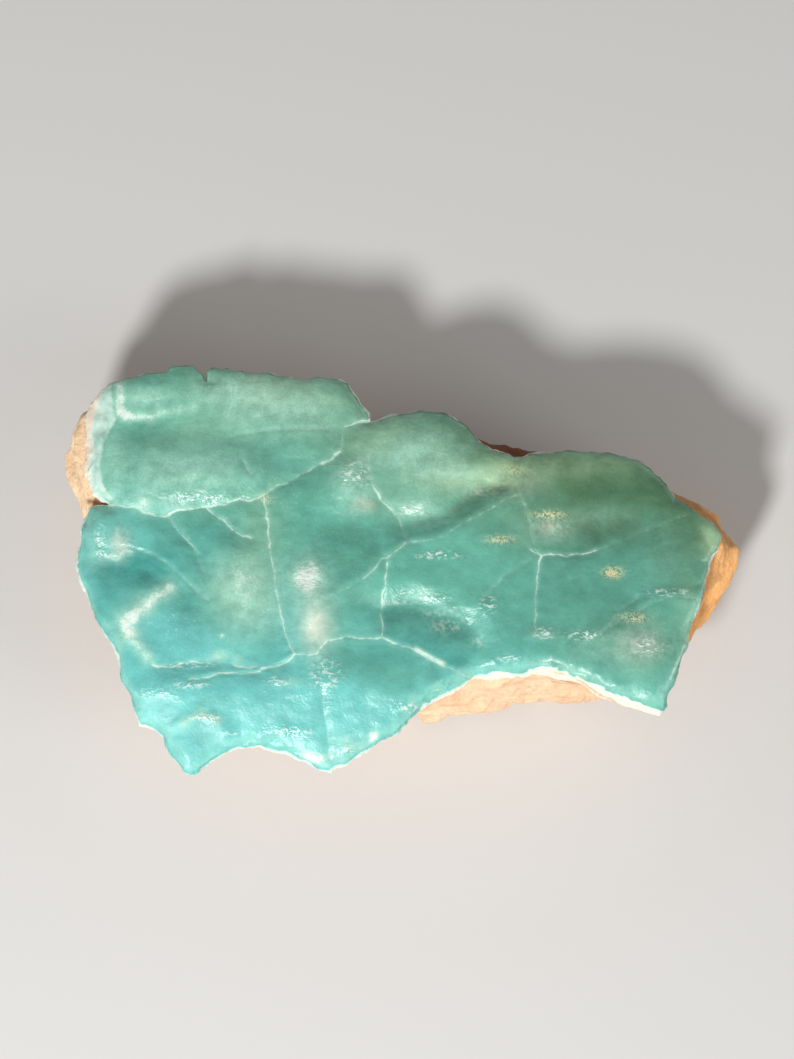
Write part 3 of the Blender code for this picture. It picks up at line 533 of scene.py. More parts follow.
class Board:
    """A node tree with short calls for the nodes that the stone's materials use."""

    def __init__(self, tree):
        self.tree = tree

    def node(self, kind, **values):
        made = self.tree.nodes.new(kind)
        for name, value in values.items():
            setattr(made, name, value)
        return made

    def feed(self, socket, value):
        if isinstance(value, bpy.types.NodeSocket):
            self.tree.links.new(value, socket)
        else:
            socket.default_value = value

    def math(self, operation, first, second=0.0, third=0.0):
        made = self.node("ShaderNodeMath", operation=operation)
        for socket, value in zip(made.inputs, (first, second, third)):
            self.feed(socket, value)
        return made.outputs[0]

    def times(self, first, second):
        return self.math("MULTIPLY", first, second)

    def pushed(self, value, wander, reach):
        """A value moved up and down by noise, by up to about half of reach."""
        return self.math("MULTIPLY_ADD", self.math("SUBTRACT", wander, 0.5), reach, value)

    def mix(self, share, first, second, blend="MIX"):
        made = self.node("ShaderNodeMix", data_type="RGBA", blend_type=blend, clamp_factor=True)
        self.feed(made.inputs["Factor"], share)
        self.feed(made.inputs["A"], first)
        self.feed(made.inputs["B"], second)
        return made.outputs["Result"]

    def shaded(self, colour, shade):
        """A colour made darker or lighter by a shade near 1."""
        return self.mix(1.0, colour, shade, "MULTIPLY")

    def between(self, value, low, high, to_low=0.0, to_high=1.0):
        """A soft step as value goes from low to high."""
        made = self.node("ShaderNodeMapRange", interpolation_type="SMOOTHSTEP")
        for name, number in (("Value", value), ("From Min", low), ("From Max", high),
                             ("To Min", to_low), ("To Max", to_high)):
            self.feed(made.inputs[name], number)
        return made.outputs["Result"]

    def paint(self, layer):
        """A paint that the mesh carries."""
        made = self.node("ShaderNodeAttribute", attribute_type="GEOMETRY", attribute_name=layer)
        return made.outputs["Fac"]

    def where(self, stretch=(1.0, 1.0, 1.0)):
        """Object coordinates in millimetres, divided by stretch so that patterns get longer."""
        coordinate = self.node("ShaderNodeTexCoord")
        mapping = self.node("ShaderNodeMapping")
        mapping.inputs["Scale"].default_value = [1.0 / (MM * s) for s in stretch]
        self.feed(mapping.inputs["Vector"], coordinate.outputs["Object"])
        return mapping.outputs["Vector"]

    def clouds(self, vector, size, detail=3.0, roughness=0.5, distortion=0.0):
        """Noise with features about size millimetres wide."""
        made = self.node("ShaderNodeTexNoise")
        self.feed(made.inputs["Vector"], vector)
        self.feed(made.inputs["Scale"], self.math("DIVIDE", 1.0, size)
                  if isinstance(size, bpy.types.NodeSocket) else 1.0 / size)
        self.feed(made.inputs["Detail"], detail)
        self.feed(made.inputs["Roughness"], roughness)
        self.feed(made.inputs["Distortion"], distortion)
        return made.outputs["Fac"]

    def cells(self, vector, size):
        """How far each place is from the middle of its cell, in sizes."""
        made = self.node("ShaderNodeTexVoronoi")
        self.feed(made.inputs["Vector"], vector)
        self.feed(made.inputs["Scale"], 1.0 / size)
        return made.outputs["Distance"]


def effect_group(name, inputs, outputs):
    """An empty shader group with named sockets, and the board to fill it on."""
    tree = bpy.data.node_groups.new(name, "ShaderNodeTree")
    for label, default in inputs:
        socket = tree.interface.new_socket(label, in_out="INPUT", socket_type="NodeSocketFloat")
        socket.default_value = default
    for label in outputs:
        tree.interface.new_socket(label, in_out="OUTPUT", socket_type="NodeSocketFloat")
    board = Board(tree)
    return board, board.node("NodeGroupInput"), board.node("NodeGroupOutput")


def broken_edge_group():
    """A mask whose soft edge is broken up by noise, as stain and grown mineral are."""
    board, given, result = effect_group(
        "broken edge", (("Mask", 0.0), ("Size", 1.0), ("Spread", 0.5), ("Softness", 0.2)), ("Mask",)
    )
    wander = board.clouds(board.where(), given.outputs["Size"], 4.0, 0.6)
    value = board.pushed(given.outputs["Mask"], wander, given.outputs["Spread"])
    low = board.math("SUBTRACT", 0.5, given.outputs["Softness"])
    high = board.math("ADD", 0.5, given.outputs["Softness"])
    board.feed(result.inputs["Mask"], board.between(value, low, high))
    return board.tree


def stone_grain_group():
    """The sugary grain of crystalline stone: a value that goes from pit to crest."""
    board, given, result = effect_group("stone grain", (("Size", 0.5),), ("Grain",))
    coarse = board.clouds(board.where(), given.outputs["Size"], 2.0, 0.6)
    fine_size = board.times(given.outputs["Size"], 0.4)
    fine = board.clouds(board.where(), fine_size, 1.0, 0.5)
    both = board.math("MULTIPLY_ADD", fine, 0.4, board.times(coarse, 0.6))
    board.feed(result.inputs["Grain"], both)
    return board.tree


def effect(board, tree, **values):
    """A group placed in a material with its own values, and its one output."""
    made = board.node("ShaderNodeGroup", node_tree=tree)
    for name, value in values.items():
        board.feed(made.inputs[name], value)
    return made.outputs[0]


def effects():
    """The two shader groups, built once."""
    groups = bpy.data.node_groups
    edge = groups.get("broken edge") or broken_edge_group()
    grain = groups.get("stone grain") or stone_grain_group()
    return edge, grain


def new_material(name):
    material = bpy.data.materials.new(name)
    material.use_nodes = True
    return material, Board(material.node_tree), material.node_tree.nodes["Principled BSDF"]


def bumped(board, height, distance):
    made = board.node("ShaderNodeBump")
    made.inputs["Distance"].default_value = distance
    board.feed(made.inputs["Height"], height)
    return made.outputs["Normal"]


def crust_pattern(board, grain):
    """The noises that the crust's colours and relief share."""
    where = board.where()
    fibres = board.clouds(board.where((1.0, 1.0, 6.0)), 0.7, 3.0, 0.6)
    return SimpleNamespace(
        where=where,
        wide=board.clouds(where, 16.0, 2.0, 0.5, 0.4),
        wisps=board.clouds(where, 6.0, 3.0, 0.55, 0.5),
        mottle=board.clouds(where, 2.2, 3.0, 0.55, 0.3),
        speckle=effect(board, grain, Size=0.45),
        ripples=board.clouds(board.where((1.7, 1.0, 1.0)), 0.55, 2.0, 0.5, 0.5),
        fibres=board.times(board.math("SUBTRACT", fibres, 0.5), board.paint("fibre")),
    )


def clear_stone(board, pattern, colours):
    """Blue-green at the front left, sea green at the back right, mossy or deep in places; the
    colours also darken towards the back right as painted shade, and the deep places are partly
    painted shade.
    """
    drift_and_shade = board.pushed(board.paint("drift_and_shade"), pattern.wide, 0.5)
    near = board.mix(board.between(drift_and_shade, 0.0, 0.5), colours.aqua, colours.teal)
    colour = board.mix(board.between(drift_and_shade, 0.5, 1.0), near, colours.sea_green)
    moss = board.times(board.paint("moss"), board.between(pattern.wisps, 0.25, 0.65, 0.5, 1.1))
    colour = board.mix(moss, colour, colours.moss)
    darkest = board.mix(board.between(drift_and_shade, 0.1, 0.5), colours.lagoon, colours.deep)
    darkest = board.mix(board.between(drift_and_shade, 0.55, 0.85), darkest, colours.olive)
    # Darker where the paint says so, partly painted shade
    deep = board.times(board.paint("deep"), board.between(pattern.wisps, 0.7, 0.3, 0.7, 1.1))
    return board.mix(deep, colour, darkest)


def milky_stone(board, pattern, colours, colour):
    """Milky patches and streaks, whitest in their middle, one streak a painted highlight, then soft
    stains and blotches.
    """
    sugar = board.times(board.between(pattern.mottle, 0.3, 0.65, 0.75, 1.1),
                        board.between(pattern.speckle, 0.35, 0.65, 0.82, 1.14))
    milk_and_highlight = board.times(board.paint("milk_and_highlight"), sugar)
    colour = board.mix(milk_and_highlight, colour, colours.milk_and_highlight)
    colour = board.mix(board.between(milk_and_highlight, 0.55, 1.2, 0.0, 0.92), colour, colours.white_and_glint)
    stain = board.times(board.paint("stain"), board.between(pattern.mottle, 0.3, 0.65, 0.7, 1.1))
    colour = board.mix(stain, colour, colours.stain)
    blots = board.between(board.clouds(pattern.where, 0.9, 4.0, 0.7), 0.42, 0.62)
    return board.mix(board.times(blots, board.paint("smudge")), colour, colours.smudge)


def skin_grain_and_glints(board, pattern, colours, colour):
    """Clouding, the grain of the skin, and painted glints: pale crests on its ripples and sparse
    pale specks.
    """
    cloud = board.between(pattern.wisps, 0.3, 0.72, 0.94, 1.07)
    cloud = board.times(cloud, board.between(pattern.mottle, 0.3, 0.7, 0.95, 1.05))
    colour = board.shaded(colour, cloud)
    colour = board.shaded(colour, board.between(pattern.speckle, 0.35, 0.65, 0.97, 1.03))
    glint_places = board.between(board.paint("frost_and_glint"), 0.2, 0.95, 0.0, 0.8)
    # Painted glints: the ripples' crests in the sugary places are made pale
    painted_glint = board.times(board.between(pattern.ripples, 0.48, 0.66), glint_places)
    colour = board.mix(painted_glint, colour, colours.white_and_glint)
    # Painted glints: sparse pale specks where the skin is sugary
    glint_speck = board.between(board.cells(pattern.where, 0.6), 0.24, 0.1)
    glint_speck = board.times(glint_speck, board.math("MULTIPLY_ADD", board.paint("grains_and_glints"), 0.5, 0.05))
    glint_speck = board.times(glint_speck, board.between(pattern.mottle, 0.4, 0.6, 0.2, 1.0))
    return board.mix(glint_speck, colour, colours.white_and_glint)


def broken_layers(board, pattern, colours, colour, edge, cream):
    """The pale and the cream layer, tan stains with a painted shadow line, yellowish grains that are
    partly painted glints, and the walls' fibres.
    """
    pale = board.between(board.pushed(board.paint("layer"), pattern.mottle, 0.5), 0.25, 0.6)
    colour = board.mix(board.times(pale, 0.85), colour, colours.pale_layer)
    colour = board.mix(cream, colour, colours.cream_layer)
    # Tan stains, and a painted shadow line at the foot of the cream layer
    blush_and_shadow = effect(board, edge, Mask=board.paint("blush_and_shadow"), Size=0.8, Spread=0.5, Softness=0.35)
    colour = board.mix(blush_and_shadow, colour, colours.blush_and_shadow)
    # Yellowish grains, partly painted yellow glints
    gilt_and_glint = board.times(board.between(pattern.speckle, 0.44, 0.56), board.paint("gilt_and_glint"))
    colour = board.mix(gilt_and_glint, colour, colours.gilt_and_glint)
    return board.shaded(colour, board.math("MULTIPLY_ADD", pattern.fibres, 0.7, 1.0))


def healed_cracks(board, pattern, colours, colour, edge):
    """Pale cracks that break up and fade along their way, with a haze beside them."""
    fade = board.between(board.clouds(pattern.where, 2.6, 3.0, 0.6), 0.32, 0.62, 0.4, 1.0)
    vein = effect(board, edge, Mask=board.times(board.paint("vein"), 0.74),
                  Size=1.1, Spread=0.8, Softness=0.2)
    vein = board.times(vein, board.between(board.paint("vein_haze"), 0.1, 0.95, 0.3, 1.0))
    haze = board.times(board.paint("vein_haze"), 0.25)
    vein = board.times(board.math("MAXIMUM", vein, haze), fade)
    return board.mix(vein, colour, colours.vein)


def crust_material(colours):
    """Waxy, slightly clear stone with a fine rippled skin."""
    material, board, shader = new_material("waxy aragonite")
    edge, grain = effects()
    pattern = crust_pattern(board, grain)
    cream = effect(board, edge, Mask=board.math("SUBTRACT", board.paint("layer"), 0.35),
                   Size=1.2, Spread=0.35, Softness=0.12)
    colour = clear_stone(board, pattern, colours)
    colour = milky_stone(board, pattern, colours, colour)
    colour = skin_grain_and_glints(board, pattern, colours, colour)
    colour = broken_layers(board, pattern, colours, colour, edge, cream)
    colour = healed_cracks(board, pattern, colours, colour, edge)
    board.feed(shader.inputs["Base Color"], colour)

    frost_and_glint = board.paint("frost_and_glint")
    rough = board.between(pattern.mottle, 0.3, 0.7, 0.27, 0.37)
    for value, change in ((frost_and_glint, -0.12), (cream, 0.3), (board.paint("dull"), 0.25)):
        rough = board.math("MULTIPLY_ADD", value, change, rough)
    board.feed(shader.inputs["Roughness"], rough)

    # The skin's ripples are highest where it is sugary
    peel = board.clouds(pattern.where, 0.8, 3.0, 0.6)
    height = board.times(pattern.ripples, board.math("MULTIPLY_ADD", frost_and_glint, 1.6, 0.08))
    for value, share in ((peel, 0.6), (pattern.speckle, 0.25), (pattern.fibres, 3.0)):
        height = board.math("MULTIPLY_ADD", value, share, height)
    board.feed(shader.inputs["Normal"], bumped(board, height, SKIN_BUMP))

    shader.inputs["IOR"].default_value = 1.56
    shader.inputs["Subsurface Weight"].default_value = 0.2
    shader.inputs["Subsurface Scale"].default_value = 0.0012
    shader.inputs["Subsurface Radius"].default_value = (0.5, 1.0, 0.85)
    return material


def rock_material(colours):
    """Dull tan stone, orange at the right end and dark brown on the hump at the back."""
    material, board, shader = new_material("host rock")
    edge, grain = effects()
    where = board.where()
    patch = board.clouds(where, 9.0, 4.0, 0.6, 0.5)
    mottle = board.clouds(where, 2.4, 5.0, 0.65, 0.4)
    speckle = effect(board, grain, Size=0.6)
    bedding = board.clouds(board.where((5.0, 5.0, 1.0)), 1.4, 4.0, 0.55, 0.9)

    colour = board.mix(board.between(patch, 0.35, 0.65), colours.tan, colours.cream)
    iron = board.pushed(board.paint("iron"), patch, 0.5)
    colour = board.mix(board.between(iron, 0.15, 0.85), colour, colours.iron)
    colour = board.mix(board.times(board.paint("pale"), 0.8), colour, colours.peach)
    umber = effect(board, edge, Mask=board.paint("umber"), Size=6.0, Spread=1.3, Softness=0.5)
    colour = board.mix(umber, colour, colours.umber)

    # Fine bedding lines, thin brown seams, painted shade where the rock meets the crust, and grain
    colour = board.shaded(colour, board.between(bedding, 0.3, 0.5, 0.88, 1.03))
    seams = board.clouds(board.where((3.0, 3.0, 1.2)), 4.0, 5.0, 0.6, 0.8)
    seam = board.between(board.math("ABSOLUTE", board.math("SUBTRACT", seams, 0.5)), 0.012, 0.0)
    seam = board.times(seam, board.between(patch, 0.4, 0.6, 0.1, 0.5))
    seam = board.times(seam, board.between(board.paint("iron"), 0.0, 1.0, 1.0, 0.3))
    seam = board.math("MAXIMUM", seam, board.paint("cleft_and_shade"))
    colour = board.mix(seam, colour, colours.seam)
    colour = board.shaded(colour, board.between(mottle, 0.3, 0.7, 0.91, 1.07))
    colour = board.shaded(colour, board.between(speckle, 0.35, 0.65, 0.92, 1.05))
    board.feed(shader.inputs["Base Color"], colour)

    board.feed(shader.inputs["Roughness"], board.between(mottle, 0.3, 0.7, 0.72, 0.92))
    height = board.math("MULTIPLY_ADD", bedding, 1.2, board.times(speckle, 0.7))
    height = board.math("ADD", height, mottle)
    board.feed(shader.inputs["Normal"], bumped(board, height, ROCK_BUMP))
    shader.inputs["IOR"].default_value = 1.5
    return material


def colour_property(name, description, red, green, blue):
    """A colour that a user can change."""
    return FloatVectorProperty(
        name=name, description=description, default=(red, green, blue, 1.0), size=4, subtype="COLOR",
    )


class AragoniteCrust(bpy.types.PropertyGroup):
    """Sizes and colours of the blue-green crust."""

    wave_height: FloatProperty(
        name="Wave height", description="How far the broad waves of the skin stand out",
        default=0.00013, unit="LENGTH",
    )
    ripple_height: FloatProperty(
        name="Ripple height", description="How far the small ripples of the skin stand out",
        default=0.00008, unit="LENGTH",
    )
    groove_depth: FloatProperty(
        name="Groove depth", description="How deep the healed cracks lie",
        default=0.00012, unit="LENGTH",
    )
    crease_height: FloatProperty(
        name="Crease height", description="Height of the crests and valleys, per millimetre read",
        default=0.001, unit="LENGTH",
    )
    wall_height: FloatProperty(
        name="Wall roughness", description="How far the broken walls of the crust stand out",
        default=0.00035, unit="LENGTH",
    )
    vein_pitch: FloatProperty(
        name="Fine band", description="How far from a healed crack the mesh is made finest",
        default=0.0010, unit="LENGTH",
    )
    aqua: colour_property("Aqua", "Blue-green of the front left", 0.16, 0.57, 0.53)
    teal: colour_property("Teal", "Green-blue of the middle", 0.125, 0.43, 0.325)
    # Darker towards the back right, partly painted shade
    sea_green: colour_property("Sea green", "Green of the back right", 0.083, 0.21, 0.107)
    moss: colour_property("Moss", "Yellower green of the thin places", 0.34, 0.52, 0.31)
    # Also the colour of painted shade
    deep: colour_property("Deep", "Darkest green-blue", 0.07, 0.24, 0.175)
    lagoon: colour_property("Lagoon", "Clear blue-green of the left", 0.045, 0.34, 0.30)
    olive: colour_property("Olive", "Darkest green of the back right", 0.06, 0.13, 0.065)
    # Milky patches, and the painted highlight of the V at the left
    milk_and_highlight: colour_property("Milk", "Milky patches and grains", 0.45, 0.77, 0.62)
    # The whitest milky patches, and the colour of the painted glints
    white_and_glint: colour_property("White", "The whitest patches", 0.80, 0.90, 0.82)
    # Yellowish grains, partly painted yellow glints
    gilt_and_glint: colour_property("Gilt", "Yellowish grains", 0.78, 0.74, 0.42)
    stain: colour_property("Stain", "Soft pinkish grey places", 0.62, 0.67, 0.55)
    smudge: colour_property("Smudge", "Grey-brown blotches", 0.42, 0.58, 0.49)
    vein: colour_property("Vein", "Healed cracks", 0.62, 0.88, 0.74)
    # Tan stains, and the colour of a painted shadow line
    blush_and_shadow: colour_property("Blush", "Tan and pinkish stains", 0.60, 0.44, 0.25)
    pale_layer: colour_property("Pale layer", "Pale layer under the blue-green", 0.72, 0.92, 0.82)
    cream_layer: colour_property("Cream layer", "Cream layer next to the rock", 0.90, 0.81, 0.66)


class AragoniteRock(bpy.types.PropertyGroup):
    """Sizes and colours of the host rock."""

    lump_height: FloatProperty(
        name="Lump height", description="How far the rock's lumps stand out",
        default=0.0007, unit="LENGTH",
    )
    chip_height: FloatProperty(
        name="Chip height", description="How far the rock's broken flats stand out",
        default=0.0010, unit="LENGTH",
    )
    contact_rise: FloatProperty(
        name="Contact rise", description="How far the rock rises to meet the crust",
        default=0.00033, unit="LENGTH",
    )
    pit_depth: FloatProperty(
        name="Pit depth", description="How deep the rock's small pits and ledges are",
        default=0.0003, unit="LENGTH",
    )
    hump_height: FloatProperty(
        name="Hump height", description="How far the weathered hump at the back stands out",
        default=0.0011, unit="LENGTH",
    )
    shoulder_height: FloatProperty(
        name="Shoulder height", description="How far the rock's left shoulder stands out",
        default=0.0014, unit="LENGTH",
    )
    tan: colour_property("Tan", "Fresh host rock", 0.83, 0.54, 0.335)
    cream: colour_property("Cream", "Paler host rock", 0.90, 0.63, 0.41)
    iron: colour_property("Iron", "Iron-stained rock", 0.96, 0.49, 0.18)
    peach: colour_property("Peach", "Pale rock of the left end", 0.98, 0.71, 0.44)
    # Dark brown of the hump at the back
    umber: colour_property("Umber", "Weathered dark skin", 0.24, 0.098, 0.052)
    # Thin dirty seams, and the colour of painted shade where the rock meets the crust
    seam: colour_property("Seam", "Thin dirty seams", 0.24, 0.12, 0.06)


class AragoniteStage(bpy.types.PropertyGroup):
    """Floor and lights."""

    floor: colour_property("Floor", "Colour of the floor", 0.66, 0.65, 0.635)
    key_power: FloatProperty(
        name="Key light", description="Power of the front left light", default=5.8, unit="POWER",
    )
    fill_power: FloatProperty(
        name="Fill light", description="Power of the front right light", default=2.2, unit="POWER",
    )
    sky: FloatProperty(
        name="Sky", description="Strength of the even light all round", default=0.3,
    )


def wandering(places, reach, length):
    """Places moved a little, up to about reach millimetres, so that no line runs straight."""
    spots = np.column_stack([places, np.zeros(len(places))]) * MM
    return places + reach * np.column_stack([
        rough_noise(spots, length), rough_noise(spots + 0.1, length)
    ])


def vein_paint(places):
    """How strongly each place is a healed crack: a line, and the haze beside it."""
    line = np.zeros(len(places))
    haze = np.zeros(len(places))
    for reach, length in VEIN_WANDER:
        places = wandering(places, reach, length)
    for points, pale, width in VEINS:
        distance = line_distance(places, points)
        line = np.maximum(line, (0.55 + 0.45 * pale) * bell(distance / (0.7 * width)))
        haze = np.maximum(haze, pale * bell(distance / (1.3 * width)))
    return line, haze


def crease_height(places):
    """Height of the crests and valleys, in millimetres."""
    bent = wandering(places, 0.5, 5.0)
    total = np.zeros(len(places))
    for line, height, reach in CREASES:
        total += height * np.exp(-line_distance(bent, line) / reach)
    return total


def crack_distance(places):
    return np.min([line_distance(places, points) for points, _, _ in VEINS], axis=0)


def above_underside(points, normals):
    """How far each point stands above the crust's underside, in metres."""
    under = points[normals[:, 2] < UNDERSIDE]
    tree = kdtree.KDTree(len(under))
    for index, point in enumerate(under):
        tree.insert((point[0], point[1], 0.0), index)
    tree.balance()
    nearest = [tree.find((point[0], point[1], 0.0))[1] for point in points]
    return points[:, 2] - under[nearest][:, 2]


def fine_crust(settings):
    """The crust's solid made fine and soft, finest on its walls and along the healed cracks."""
    bm = merged_copy("aragonite_crust")
    for _ in range(2):
        divide(bm, bm.edges[:])
        bm.normal_update()
        top = [vert for vert in bm.verts if vert.normal.z > STEEP]
        side = [vert for vert in bm.verts if abs(vert.normal.z) <= STEEP]
        soften(bm, top, 3, upright=True)
        soften(bm, side)
    divide(bm, [
        edge for edge in bm.edges if any(abs(face.normal.z) < STEEP for face in edge.link_faces)
    ])
    refresh(bm)
    near = crack_distance(seen(coordinates(bm))) * MM < settings.vein_pitch
    near &= directions(bm)[:, 2] > STEEP
    divide(bm, [edge for edge in bm.edges if all(near[vert.index] for vert in edge.verts)])
    refresh(bm)
    return bm


def crust_relief(settings, points, normals, places, above):
    """Points with the skin's waves, creases and grooves, and with the walls broken."""
    wave = rough_noise(points, 6.0) + 0.5 * rough_noise(points, 3.0)
    ripple = rough_noise(points, 1.3, (1.8, 1.0, 1.0))
    rise = settings.wave_height * wave + settings.ripple_height * ripple
    rise -= settings.groove_depth * bell(crack_distance(places) / GROOVE_WIDTH)
    rise += settings.crease_height * (crease_height(places) + patches(places, SWELLS))
    ledge = 1.0 - smooth_step(above, *LEDGE_TOP)
    fibres = rough_noise(points, 0.9, (1.0, 1.0, 5.0))
    broken = settings.wall_height * (
        1.2 * rough_noise(points, 3.2) + 0.7 * rough_noise(points, 1.2) + 0.35 * fibres + 0.5 * ledge
    )
    upward, sideways = facing(normals)
    return points + normals * (upward * rise + sideways * broken)[:, None]


def layer_paint(points, places, above, upward):
    """Where the paler layers show: on the walls, at the left edge and at the front right."""
    walls = (1.0 - smooth_step(above, *LAYER_TOP)) * (1.0 - upward)
    behind = smooth_step(places[:, 1], *LEFT_LAYERS_FROM)
    pale = behind * smooth_step(left_of(places, PALE_LAYER_LINE), -0.6, 0.8)
    cream = behind * smooth_step(left_of(places, CREAM_EDGE_LINE), -0.35, 0.25)
    wander = 0.5 * rough_noise(points, 1.8) + 0.3 * rough_noise(points, 0.9)
    across, back = zip(*CREAM_LAYER_LINE)
    depth = places[:, 1] - np.interp(places[:, 0], across, back)
    shown = (places[:, 0] > FRONT_LAYER_ENDS[0]) & (places[:, 0] < FRONT_LAYER_ENDS[1])
    shown &= places[:, 1] < FRONT_LAYER_BACK
    front = np.where(shown, smooth_step(wander - depth, 0.35, 0.85), 0.0)
    return np.maximum.reduce([walls, 0.5 * pale, cream, front, streaks(places, PALE_RIM)])


def crust_paint(points, normals, places, above):
    """Each paint of the crust under the name by which its material reads it."""
    upward, sideways = facing(normals)
    line, haze = vein_paint(places)
    # Darker places, partly painted shade
    deep = patches(places, DEEP_AND_SHADE)
    for outline, strength in DARK_AND_SHADED_CELLS:
        deep = np.maximum(deep, strength * smooth_step(signed_edge(places, outline), -0.5, 0.7))

    # The rounded upper edge is a little paler
    rim = smooth_step(normals[:, 2], 0.3, 0.7) * (1.0 - smooth_step(normals[:, 2], 0.75, 0.96))
    milk_and_highlight = patches(places, MILKY) + streaks(places, MILKY_AND_HIGHLIGHT_LINES) + 0.3 * rim
    blush_and_shadow = np.maximum(patches(places, BLUSH) * upward, streaks(places, BLUSH_AND_SHADOW_LINES))
    frost_and_glint = np.zeros(len(places))
    for centre, radii in FROSTED_AND_GLINTS:
        frost_and_glint = np.maximum(frost_and_glint, bell(1.05 * np.hypot(*((places - centre) / radii).T)))

    # The change from blue-green at the front left to green at the back right, which also carries
    # painted shade, darker towards the back right
    across, back = places.T
    drift_and_shade = 0.45 + 0.0045 * across + 0.0125 * back
    drift_and_shade += 0.0004 * np.maximum(across, 0.0) * np.maximum(back, 0.0)
    return {
        "vein": line,
        "vein_haze": haze * upward,
        "deep": np.clip(deep, 0.0, 1.0) * upward,
        "milk_and_highlight": np.clip(milk_and_highlight, 0.0, 1.2) * upward,
        "smudge": patches(places, SMUDGED) * upward,
        "moss": np.clip(patches(places, MOSSY), 0.0, 1.0),
        "blush_and_shadow": blush_and_shadow,
        "frost_and_glint": frost_and_glint * upward,
        "layer": layer_paint(points, places, above, upward),
        "fibre": sideways,
        "grains_and_glints": patches(places, GRAINS_AND_GLINTS) * upward,
        "gilt_and_glint": patches(places, GILT_AND_GLINTS) * upward,
        "dull": patches(places, DULL),
        "stain": patches(places, STAINED) * upward,
        "drift_and_shade": np.clip(drift_and_shade, 0.0, 1.0),
    }


class ARAGONITE_OT_crust(bpy.types.Operator):
    """Build the blue-green crust"""

    bl_idname = "aragonite.crust"
    bl_label = "Crust"

    def execute(self, context):
        settings = context.scene.aragonite_crust
        bm = fine_crust(settings)
        points = coordinates(bm)
        normals = directions(bm)
        places = seen(points)
        above = above_underside(points, normals) + LAYER_WANDER * rough_noise(points, 6.0)
        points = crust_relief(settings, points, normals, places, above)
        place(bm, points)
        paint = crust_paint(points, normals, places, above)
        piece = finished(bm, "aragonite_skin", crust_material(settings), paint)
        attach(piece, "root")
        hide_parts("aragonite_crust")
        return {"FINISHED"}


def fine_rock():
    """The rock's solid made fine and soft, with its foot left as it is."""
    bm = merged_copy("matrix_rock")
    for _ in range(3):
        divide(bm, bm.edges[:])
        soften(bm, [vert for vert in bm.verts if vert.co.z > ROCK_FOOT], 2)
    refresh(bm)
    return bm


def rock_relief(settings, points, normals, high):
    """Points with the rock's lumps, broken flats, ledges and pits, gentler near the crust."""
    level = smooth_step(normals[:, 2], 0.5, 0.8)
    free = smooth_step(points[:, 2], *ROCK_FREE) * (1.0 - 0.75 * level)
    lumps = rough_noise(points, 9.0, (1.3, 1.3, 0.8))
    chips = chipped(points, 8.0) + 0.4 * chipped(points, 3.4)
    ledges = ridged_noise(points / np.array((1.6, 1.6, 0.6)), 7.0) - 1.2
    pits = rough_noise(points, 2.4) + 0.6 * rough_noise(points, 1.1)
    shove = settings.lump_height * (lumps - 0.3) * (1.0 - 0.5 * high)
    shove += settings.chip_height * chips * (1.0 - 0.75 * high)
    shove += settings.pit_depth * (0.9 * ledges + pits)
    shove += settings.hump_height * around(points, *HUMP)
    shove += settings.shoulder_height * around(points, *SHOULDER)
    points = points + normals * (free * shove)[:, None]
    points[:, 2] += settings.contact_rise * level * high
    points[:, 2] = np.maximum(points[:, 2], 0.0)
    return points


def rock_paint(points, places, high):
    """Each paint of the rock under the name by which its material reads it."""
    return {
        "iron": smooth_step(places[:, 0], *ROCK_ENDS),
        "pale": smooth_step(-places[:, 0], *ROCK_ENDS),
        "umber": 1.3 * around(points, *BACK_HUMP_BROWN),
        "cleft_and_shade": streaks(places, CLEFTS_AND_SHADE) * high,
    }


class ARAGONITE_OT_rock(bpy.types.Operator):
    """Build the tan host rock"""

    bl_idname = "aragonite.host_rock"
    bl_label = "Host rock"

    def execute(self, context):
        settings = context.scene.aragonite_rock
        bm = fine_rock()
        solid = coordinates(bm)
        high = smooth_step(solid[:, 2], *ROCK_TOP)
        points = rock_relief(settings, solid, directions(bm), high)
        place(bm, points)
        paint = rock_paint(solid, seen(points), high)
        piece = finished(bm, "host_rock", rock_material(settings), paint)
        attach(piece, "root")
        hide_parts("matrix_rock")
        return {"FINISHED"}


def seat(target, azimuth, elevation, distance):
    """A place round the target, turned from its front to its right by azimuth, in degrees."""
    turn, lift = math.radians(azimuth), math.radians(elevation)
    way = Vector((math.sin(turn) * math.cos(lift), -math.cos(turn) * math.cos(lift), math.sin(lift)))
    return target + way * distance


def aimed(name, data, location, target):
    """A light or a camera that looks at the target."""
    thing = bpy.data.objects.new(name, data)
    thing.location = location
    thing.rotation_euler = (target - location).to_track_quat("-Z", "Y").to_euler()
    bpy.context.scene.collection.objects.link(thing)
    return thing


def soft_light(name, target, power, azimuth, elevation, distance, size):
    light = bpy.data.lights.new(name, "AREA")
    light.shape = "DISK"
    light.size = size
    light.energy = power
    aimed(name, light, seat(target, azimuth, elevation, distance), target)


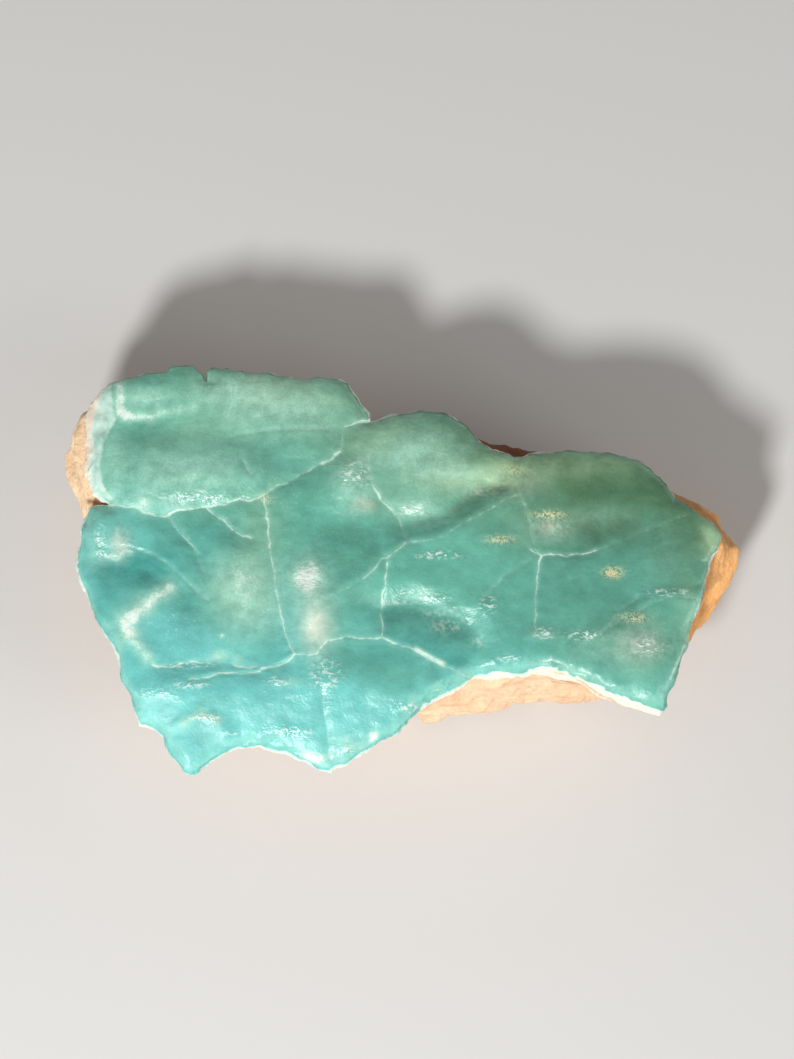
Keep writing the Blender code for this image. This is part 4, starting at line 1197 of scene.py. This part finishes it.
class ARAGONITE_OT_stage(bpy.types.Operator):
    """Build the floor, the lights and the camera"""

    bl_idname = "aragonite.stage"
    bl_label = "Stage"

    def execute(self, context):
        scene = context.scene
        settings = scene.aragonite_stage
        target = Vector((
            VIEW_CENTRE[0] + PLAN_SHIFT[0], VIEW_CENTRE[1] + PLAN_SHIFT[1], READING_LEVEL
        )) * MM

        bm = bmesh.new()
        bmesh.ops.create_grid(bm, x_segments=1, y_segments=1, size=FLOOR_REACH)
        mesh = bpy.data.meshes.new("floor")
        bm.to_mesh(mesh)
        bm.free()
        material, _, shader = new_material("floor")
        shader.inputs["Base Color"].default_value = settings.floor
        shader.inputs["Roughness"].default_value = 0.9
        mesh.materials.append(material)
        floor = bpy.data.objects.new("floor", mesh)
        scene.collection.objects.link(floor)

        soft_light("key", target, settings.key_power, **KEY_LIGHT)
        soft_light("fill", target, settings.fill_power, **FILL_LIGHT)
        world = bpy.data.worlds.new("studio")
        world.use_nodes = True
        sky = world.node_tree.nodes["Background"]
        sky.inputs["Color"].default_value = SKY_COLOUR
        sky.inputs["Strength"].default_value = settings.sky
        scene.world = world

        # The default view would wash out the blue-green
        scene.view_settings.view_transform = "Standard"
        camera = bpy.data.cameras.new("camera")
        camera.lens = VIEW_LENS
        camera.clip_start = 0.01
        above = seat(target, 0.0, 90.0 - VIEW_LEAN, VIEW_DISTANCE * MM)
        scene.camera = aimed("camera", camera, above, target)
        return {"FINISHED"}


class ARAGONITE_PT_sidebar(bpy.types.Panel):
    """The pieces of the stone"""

    bl_label = "Rough aragonite"
    bl_idname = "ARAGONITE_PT_sidebar"
    bl_space_type = "VIEW_3D"
    bl_region_type = "UI"
    bl_category = "Aragonite"

    def draw(self, context):
        for operator in OPERATORS:
            self.layout.operator(operator.bl_idname)


OPERATORS = (ARAGONITE_OT_crust, ARAGONITE_OT_rock, ARAGONITE_OT_stage)
SETTINGS = (
    ("aragonite_crust", AragoniteCrust),
    ("aragonite_rock", AragoniteRock),
    ("aragonite_stage", AragoniteStage),
)


def register():
    for name, group in SETTINGS:
        bpy.utils.register_class(group)
        setattr(bpy.types.Scene, name, PointerProperty(type=group))
    for operator in OPERATORS:
        bpy.utils.register_class(operator)
    bpy.utils.register_class(ARAGONITE_PT_sidebar)


def unregister():
    bpy.utils.unregister_class(ARAGONITE_PT_sidebar)
    for operator in reversed(OPERATORS):
        bpy.utils.unregister_class(operator)
    for name, group in reversed(SETTINGS):
        delattr(bpy.types.Scene, name)
        bpy.utils.unregister_class(group)


def main():
    register()
    bpy.ops.aragonite.crust()
    bpy.ops.aragonite.host_rock()
    bpy.ops.aragonite.stage()


if __name__ == "__main__":
    main()
